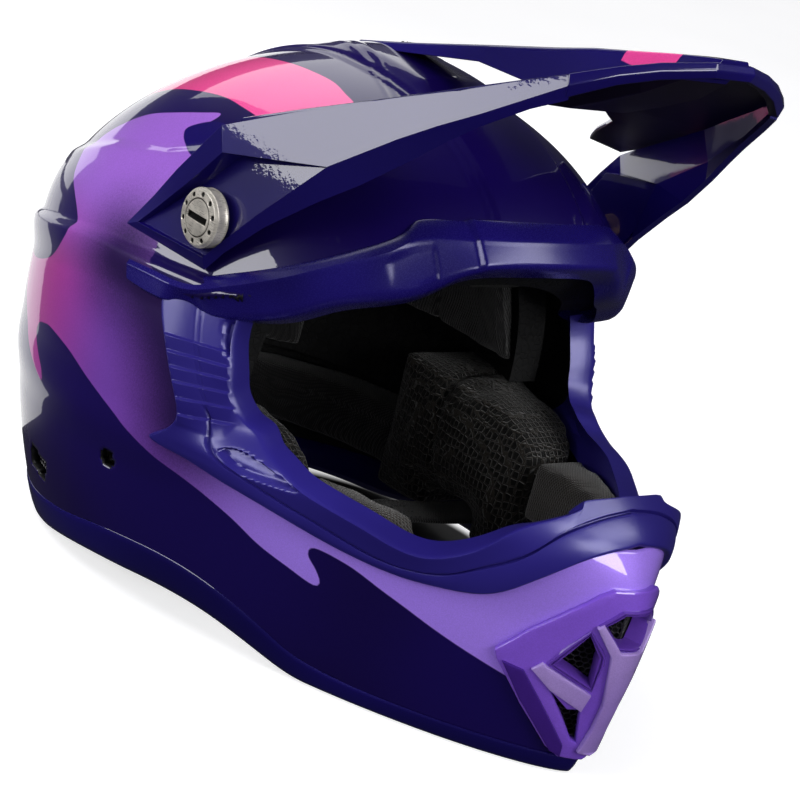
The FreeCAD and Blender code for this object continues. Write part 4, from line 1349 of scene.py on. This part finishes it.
def inflate(obj, pressure, cap):
    """Cloth filled from inside; no point moves further than cap millimetres."""
    rest = vertices(obj)
    cloth = obj.modifiers.new("filling", "CLOTH")
    settings = cloth.settings
    settings.quality = 4
    settings.mass = 0.3
    settings.use_pressure = True
    settings.uniform_pressure_force = pressure
    settings.effector_weights.gravity = 0.0
    cloth.collision_settings.use_collision = False
    cloth.point_cache.frame_start, cloth.point_cache.frame_end = 1, 20
    scene = bpy.context.scene
    for k in range(1, 21):
        scene.frame_set(k)
    dg = bpy.context.evaluated_depsgraph_get()
    swollen = obj.evaluated_get(dg).to_mesh()
    moved = np.zeros(len(swollen.vertices) * 3)
    swollen.vertices.foreach_get("co", moved)
    moved = moved.reshape(-1, 3) - rest
    obj.evaluated_get(dg).to_mesh_clear()
    obj.modifiers.clear()
    scene.frame_set(1)
    length = np.linalg.norm(moved, axis=1, keepdims=True)
    limit = cap * MM
    moved *= np.minimum(1.0, limit / np.maximum(length, 1e-9))
    move_vertices(obj, rest + moved)


def channel(obj, place, normal, width, depth):
    """Sewn channel: points near a plane are drawn in along their normals (millimetres)."""
    p = vertices(obj)
    normals = np.array([v.normal for v in obj.data.vertices])
    flat = np.array(normal, float)
    flat /= np.linalg.norm(flat)
    away = np.abs((p - to_row(place)) @ (flat * [1, -1, 1])) / MM
    pull = depth * MM * np.exp(-(away / width) ** 2)
    move_vertices(obj, p - normals * pull[:, None])


def pad(node, name, voxel, inset, cap, pressure=4.0, channels=(), body="liner_body",
        slot="comfort_fabric", material=None, flip_of=None):
    if flip_of is None:
        obj = filled_mesh(node, name, voxel, inset)
        inflate(obj, pressure, cap)
        fine = obj.modifiers.new("fine", "SUBSURF")
        fine.levels = fine.render_levels = 1
        apply_modifiers(obj)
        for place, normal, width, depth in channels:
            channel(obj, place, normal, width, depth)
    else:
        obj = bpy.data.objects.new(name, flip_of.data.copy())
        bpy.context.scene.collection.objects.link(obj)
        move_vertices(obj, vertices(obj) * [-1, 1, 1])
        obj.data.flip_normals()
    all_smooth(obj)
    finish_piece(obj, body, slot, material, node)
    return obj


def build_pads():
    soft = knit("brushed_knit", rgb(18, 17, 19), rgb(6, 6, 7), 0.0014)
    ends = knit("rib_knit", rgb(50, 46, 43), rgb(16, 15, 14), 0.0017)
    mesh = spacer_fabric("spacer_mesh_fabric")
    pad("crown_pad", "crown_cushion", 3.5, 1.0, 3.0, material=soft, channels=[
        ((-11, 0, 0), (1, 0, 0), 1.6, 1.6), ((11, 0, 0), (1, 0, 0), 1.6, 1.6),
        ((0, -30, 0), (0, 1, 0), 1.6, 1.6)])
    pad("brow_pad", "brow_cushion", 3.5, 1.0, 3.0, material=soft, channels=[
        ((-24, 0, 0), (1, 0, 0), 1.6, 1.6), ((24, 0, 0), (1, 0, 0), 1.6, 1.6)])
    pad("rear_pad", "rear_cushion", 3.5, 1.0, 3.0, material=soft, channels=[
        ((-22, 0, 0), (1, 0, 0), 1.6, 1.6), ((22, 0, 0), (1, 0, 0), 1.6, 1.6)])
    one = pad("right_side_pad", "right_side_cushion", 3.5, 1.0, 3.0, material=soft,
              channels=[((0, -32, 0), (0, 1, 0), 1.6, 1.6)])
    pad("left_side_pad", "left_side_cushion", 3.5, 1.0, 3.0, material=soft,
        flip_of=one)
    cheek = pad("right_cheek_pad", "right_cheek_cushion", 4.5, 1.6, 5.0, body="shell_body",
                slot="spacer_mesh", material=mesh, channels=[
                    ((0, 20, 0), (0, 1, 0.2), 1.8, 2.0), ((0, 58, 0), (0, 1, -0.3), 1.8, 1.6)])
    pad("left_cheek_pad", "left_cheek_cushion", 4.5, 1.6, 5.0, body="shell_body",
        slot="spacer_mesh", material=mesh, flip_of=cheek)
    front = pad("right_cheek_pad_front", "right_cheek_end", 3.0, 1.0, 3.0, body="shell_body",
                slot="comfort_fabric", material=ends, channels=[
                    ((0, 116, 0), (0, 1, -0.4), 1.0, 0.9)])
    pad("left_cheek_pad_front", "left_cheek_end", 3.0, 1.0, 3.0, body="shell_body",
        slot="comfort_fabric", material=ends, flip_of=front)
    pad("neck_roll", "neck_cushion", 4.5, 1.4, 4.0, body="shell_body", material=soft,
        channels=[((0, 0, 42.5), (0, 0, 1), 1.6, 1.8)])


# ------------------------------------------------------------------ straps
LEFT_ROUTE = [(104.2, 32), (96, 32), (86, 32), (70, 32.5), (50, 34), (30, 36), (18.4, 36)]
RIGHT_ROUTE = [(-104.2, 32), (-96, 32), (-86, 32), (-70, 32), (-50, 32.5), (-34, 33.5),
               (-20, 33.5)]
STRAP_U, STRAP_WIDTH, STRAP_THICK = 20.0, 22.0, 2.0


def webbing_ribbon(name, route, count=70, closed=False):
    """Flat belt of woven webbing swept along a route of (x, z) in the plane across."""
    line = along(np.array(route, float), count)
    direction = np.gradient(line, axis=0)
    direction /= np.linalg.norm(direction, axis=1, keepdims=True)
    normal = np.stack([-direction[:, 1], direction[:, 0]], -1)
    half, thick = STRAP_WIDTH / 2, STRAP_THICK / 2
    ring = []
    for v in np.linspace(-1, 1, 13):
        ring.append((v * (half - 0.8), thick * (1.0 - 0.10 * v * v)))
    ring += [(half - 0.2, thick * 0.55), (half, 0), (half - 0.2, -thick * 0.55)]
    for v in np.linspace(1, -1, 13):
        ring.append((v * (half - 0.8), -thick * (1.0 - 0.10 * v * v)))
    ring += [(-half + 0.2, -thick * 0.55), (-half, 0), (-half + 0.2, thick * 0.55)]
    rows = [[(line[i, 0] + normal[i, 0] * b, STRAP_U + a, line[i, 1] + normal[i, 1] * b)
             for a, b in ring] for i in range(count)]
    n = len(ring)
    faces = [tuple(f) for f in grid_faces(count, n, loop_cols=True, loop_rows=closed)]
    if not closed:
        faces += [tuple(range(n))[::-1], tuple((count - 1) * n + k for k in range(n))]
    obj = new_object(name, to_row(np.array(rows).reshape(-1, 3)), faces)
    outward(obj)
    sharpen(obj, 50)
    return obj


def stitches(name, route, first, last, columns, spacing=2.6):
    """Rows of raised thread stitches along part of a strap, on both faces."""
    line = along(np.array(route, float), 400)
    arc = np.concatenate([[0], np.cumsum(np.linalg.norm(np.diff(line, axis=0), axis=1))])
    verts, faces = [], []
    for offset in columns:
        for place in np.arange(first, last, spacing):
            for face in (1, -1):
                centres = []
                for k in range(7):
                    t = place + 1.7 * k / 6
                    x, z = np.interp(t, arc, line[:, 0]), np.interp(t, arc, line[:, 1])
                    ahead = np.interp(t + 0.1, arc, line[:, 1]) - z
                    lean = math.atan2(ahead, np.interp(t + 0.1, arc, line[:, 0]) - x)
                    lift = STRAP_THICK / 2 - 0.25 + 0.42 * math.sin(math.pi * k / 6)
                    centres.append((x - math.sin(lean) * lift * face, STRAP_U + offset,
                                    z + math.cos(lean) * lift * face, lean))
                start = len(verts)
                for k, (x, u, z, lean) in enumerate(centres):
                    r = 0.32 * (0.5 + 0.5 * math.sin(math.pi * k / 6))
                    for a in np.arange(6) * math.pi / 3:
                        verts.append((x - math.sin(lean) * r * math.sin(a), u + r * math.cos(a),
                                      z + math.cos(lean) * r * math.sin(a)))
                faces += [tuple(f + start) for f in grid_faces(7, 6, loop_cols=True)]
                faces += [tuple(start + k for k in range(6)),
                          tuple(start + 36 + k for k in range(6))[::-1]]
    obj = new_object(name, to_row(np.array(verts)), faces)
    outward(obj)
    return obj


def build_straps():
    weave = webbing_weave("strap_weave")
    thread = thread_fibre("strap_thread")
    for label, route in (("left", LEFT_ROUTE), ("right", RIGHT_ROUTE)):
        strap = webbing_ribbon(label + "_webbing", route)
        finish_piece(strap, "shell_body", "webbing", weave, label + "_chin_strap")
        length = float(np.linalg.norm(np.diff(along(route, 200), axis=0), axis=1).sum())
        sewn = stitches(label + "_stitches", route, length - 22, length - 3, (-8.5, -3, 3, 8.5))
        finish_piece(sewn, "shell_body", "webbing", thread)
    turn = np.arange(48) * 2 * math.pi / 48
    loop = webbing_ribbon("ring_webbing_loop", [(12 + 5.2 * math.cos(a), 36 + 5.2 * math.sin(a))
                                                for a in turn], 48, closed=True)
    finish_piece(loop, "shell_body", "webbing", weave, "ring_loop")


# ------------------------------------------------------------------ screens in the vents
def honeycomb(name, outline, pitch, wire, bend):
    """Screen of hexagonal openings over a flat outline, bent by bend(flat points)."""
    p = np.array(outline, float)
    low, high = p.min(0), p.max(0)
    bm = bmesh.new()
    r = pitch / math.sqrt(3)
    seen = {}

    def corner(x, z):
        key = (round(x, 2), round(z, 2))
        if key not in seen:
            seen[key] = bm.verts.new((x, z, 0))
        return seen[key]

    rows = int((high[1] - low[1]) / (1.5 * r)) + 2
    columns = int((high[0] - low[0]) / pitch) + 2
    centres = [(low[0] + (k + 0.5 * (j % 2)) * pitch, low[1] + j * 1.5 * r)
               for j in range(rows) for k in range(columns)]
    keep = depth_inside(np.array(centres), p) > -0.2 * pitch
    for (cx, cz), inside in zip(centres, keep):
        if inside:
            bm.faces.new([corner(cx + r * math.cos(math.pi * (k / 3 + 1 / 6)),
                                 cz + r * math.sin(math.pi * (k / 3 + 1 / 6)))
                          for k in range(6)])
    mesh = bpy.data.meshes.new(name)
    bm.to_mesh(mesh)
    bm.free()
    obj = bpy.data.objects.new(name, mesh)
    bpy.context.scene.collection.objects.link(obj)
    move_vertices(obj, to_row(bend(vertices(obj)[:, :2])))
    wires = obj.modifiers.new("wires", "WIREFRAME")
    wires.thickness = wire * MM
    wires.use_even_offset = False
    wires.use_boundary = True
    return obj


def screen_plastic(name):
    s = Shader(name)
    grain = s.noise(1800.0, 2.0)
    s.set(Base_Color=s.blend(grain, rgb(20, 19, 22), rgb(38, 36, 42)), Roughness=0.5)
    s.set(Normal=s.bump(grain, 0.25, 0.0002))
    return s.material


def build_screens():
    material = screen_plastic("screen_nylon")

    def over_nose(flat):
        q = on_shell(front_bearing(flat[:, 0], flat[:, 1]), flat[:, 1], -4.6)
        q[:, 0] *= np.where(flat[:, 0] < 0, -1, 1)
        return q

    half = [(0, 78.5), (13, 78), (24, 66), (27, 50), (20, 33), (9, 15.5), (0, 15.5)]
    mesh = honeycomb("mouthpiece_screen", mirrored_loop(half), 2.6, 0.7, over_nose)
    finish_piece(mesh, "shell_body", "black_mesh", material, "mouthpiece_mesh")
    slot = [(-68, 26), (-46, 24), (-45, 38), (-67, 40)]
    sides = []
    for side in (1, -1):
        def over_side(flat, side=side):
            q = on_shell(bearing_at(flat[:, 0], flat[:, 1]), flat[:, 1], -4.2)
            q[:, 0] *= side
            return q
        sides.append(honeycomb("screen", slot, 2.8, 0.8, over_side))
    for obj in sides:
        apply_modifiers(obj)
    both = join(sides, "side_vent_screens")
    finish_piece(both, "shell_body", "black_mesh", material, "side_vent_grilles")


# ------------------------------------------------------------------ carried-over CAD nodes
def polished_wire(name):
    s = Shader(name)
    s.set(Base_Color=s.blend(s.noise(300.0, 3.0), rgb(196, 196, 200), rgb(150, 150, 156)),
          Metallic=1.0, Roughness=s.span(s.noise(900.0, 3.0), 0.3, 0.7, 0.1, 0.24))
    return s.material


def elastomer(name):
    s = Shader(name)
    grain = s.noise(700.0, 3.0)
    s.set(Base_Color=s.blend(grain, rgb(206, 120, 24), rgb(232, 150, 44)), Roughness=0.55)
    s.set(Normal=s.bump(grain, 0.2, 0.0004))
    return s.material


def dress_nodes():
    foam = bead_foam("bead_foam")
    given = {"outer_liner": foam, "inner_liner": foam, "chin_bar_foam": foam,
             "slip_couplers": elastomer("coupler_rubber"), "d_rings": polished_wire("ring_wire"),
             "strap_anchors": brushed_metal("anchor", (120, 120, 124), 0.4),
             "left_visor_insert": brushed_metal("insert", (196, 158, 88), 0.32)}
    given["right_visor_insert"] = given["left_visor_insert"]
    for node, material in given.items():
        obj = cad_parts[node]
        for k in range(max(1, len(obj.material_slots))):
            if not obj.material_slots:
                obj.data.materials.append(material)
            obj.material_slots[k].material = material


# ------------------------------------------------------------------ stage, light, camera
def area_light(name, place, target, width, height, power, visible=True):
    data = bpy.data.lights.new(name, "AREA")
    data.shape, data.size, data.size_y, data.energy = "RECTANGLE", width, height, power
    lamp = bpy.data.objects.new(name, data)
    bpy.context.scene.collection.objects.link(lamp)
    lamp.location = place
    lamp.rotation_euler = (Vector(target) - Vector(place)).to_track_quat("-Z", "Y").to_euler()
    lamp.visible_camera = False
    lamp.visible_glossy = visible
    return lamp


# Area lamps: name, place, target, width and height (metres), power (watts), and whether
# glossy surfaces show them.
LAMPS = [
    ("crown_softbox", (0.40, 0.85, 0.93), (0.0, 0.0, 0.2), 0.95, 0.6, 2.6, True),
    ("side_strip", (-1.3, 0.28, 0.56), (-0.08, -0.06, 0.24), 1.3, 0.52, 12, True),
    ("front_card", (0.05, -1.5, 0.62), (0, -0.17, 0.1), 0.7, 0.5, 9, True),
    ("front_key", (-1.0, -1.3, 0.45), (0, -0.10, 0.08), 1.6, 0.8, 7, False),
    ("lip_card", (0.48, -0.99, 0.98), (0, -0.155, 0.11), 0.9, 0.5, 7, True),
    ("rear_card", (0.35, 1.25, 0.17), (0, 0.1, 0.12), 1.2, 0.34, 1.6, True),
    ("rear_low_card", (0.05, 0.62, 0.002), (0.05, 0.62, 1.0), 0.4, 0.9, 1.2, True),
]
FLOOR_GLOW = 0.62            # emission of the open floor


def build_stage():
    """White studio floor with a painted shadow right under the helmet, and the lamps."""
    profile = [(0.0, 0.0), (0.3, 0.0), (1.0, 0.0), (4.5, 0.0), (5.2, 0.12), (5.7, 0.5),
               (5.95, 1.1), (6.0, 2.0), (6.0, 5.0)]
    turn = np.arange(64) * 2 * math.pi / 64
    verts = [(max(r, 0.001) * math.cos(a), max(r, 0.001) * math.sin(a), z)
             for r, z in profile for a in turn]
    floor = new_object("floor", verts, grid_faces(len(profile), 64, loop_cols=True))
    s = Shader("pale_floor")
    place = s.place()
    middle = s.node("ShaderNodeVectorMath", {0: place, 1: (0.034, 0.02, 0.0)},
                    operation="SUBTRACT")
    squeezed = s.node("ShaderNodeVectorMath", {0: middle, 1: (1 / 0.090, 1 / 0.105, 1.0)},
                      operation="MULTIPLY")
    reach = s.node("ShaderNodeVectorMath", {0: squeezed.outputs[0]}, operation="LENGTH")
    # Painted shadow: inside an ellipse under the helmet the floor is dark and does not glow.
    floor_outside_shadow = s.span(reach.outputs["Value"], 0.94, 1.04)
    pale = s.blend(s.span(s.noise(2.0), 0.3, 0.7), rgb(206, 206, 209), rgb(212, 212, 215))
    s.set(Base_Color=s.blend(floor_outside_shadow, rgb(12, 12, 14), pale), Roughness=0.8,
          Emission_Color=rgb(255, 255, 255),
          Emission_Strength=s.math("MULTIPLY", floor_outside_shadow, FLOOR_GLOW))
    floor.data.materials.append(s.material)
    floor.visible_glossy = False
    floor.visible_diffuse = False
    sun = bpy.data.lights.new("fill_sun", "SUN")
    sun.energy, sun.angle = 1.9, math.radians(50)
    lamp = bpy.data.objects.new("fill_sun", sun)
    bpy.context.scene.collection.objects.link(lamp)
    lamp.rotation_euler = (math.radians(-22), math.radians(-20), 0)
    lamp.visible_glossy = False
    for lamp in LAMPS:
        area_light(*lamp)
    world = bpy.data.worlds.new("studio")
    bpy.context.scene.world = world
    world.use_nodes = True
    tree = world.node_tree
    background = tree.nodes["Background"]
    background.inputs["Color"].default_value = (0.85, 0.83, 1.0, 1)
    background.inputs["Strength"].default_value = 0.03


CAMERA_TARGET, CAMERA_REACH = (0, -19, 99), 0.956      # millimetres, metres
CAMERA_ROLL, CAMERA_LENS = 15.5, 99                    # degrees, millimetres


def build_camera():
    """Low three-quarter view of the wearer's right front."""
    target = Vector(CAMERA_TARGET) * MM
    back = Vector((-0.67135, -0.67135, 0.31399))
    across = Vector((0.7071, -0.7071, 0))
    rise = across.cross(-back)
    roll = math.radians(CAMERA_ROLL)
    right = across * math.cos(roll) + rise * math.sin(roll)
    up = rise * math.cos(roll) - across * math.sin(roll)
    data = bpy.data.cameras.new("camera")
    data.lens, data.sensor_width = CAMERA_LENS, 36
    camera = bpy.data.objects.new("camera", data)
    bpy.context.scene.collection.objects.link(camera)
    basis = Matrix((right, up, back)).transposed()
    camera.matrix_world = Matrix.Translation(target + back * CAMERA_REACH) @ basis.to_4x4()
    bpy.context.scene.camera = camera


build_shell()
build_frame()
build_brow()
build_rim()
build_mouthpiece()
build_screens()
build_visor()
build_screw(1)
build_screw(-1)
build_pads()
build_straps()
dress_nodes()
bpy.context.scene.view_settings.view_transform = "Standard"
build_stage()
build_camera()
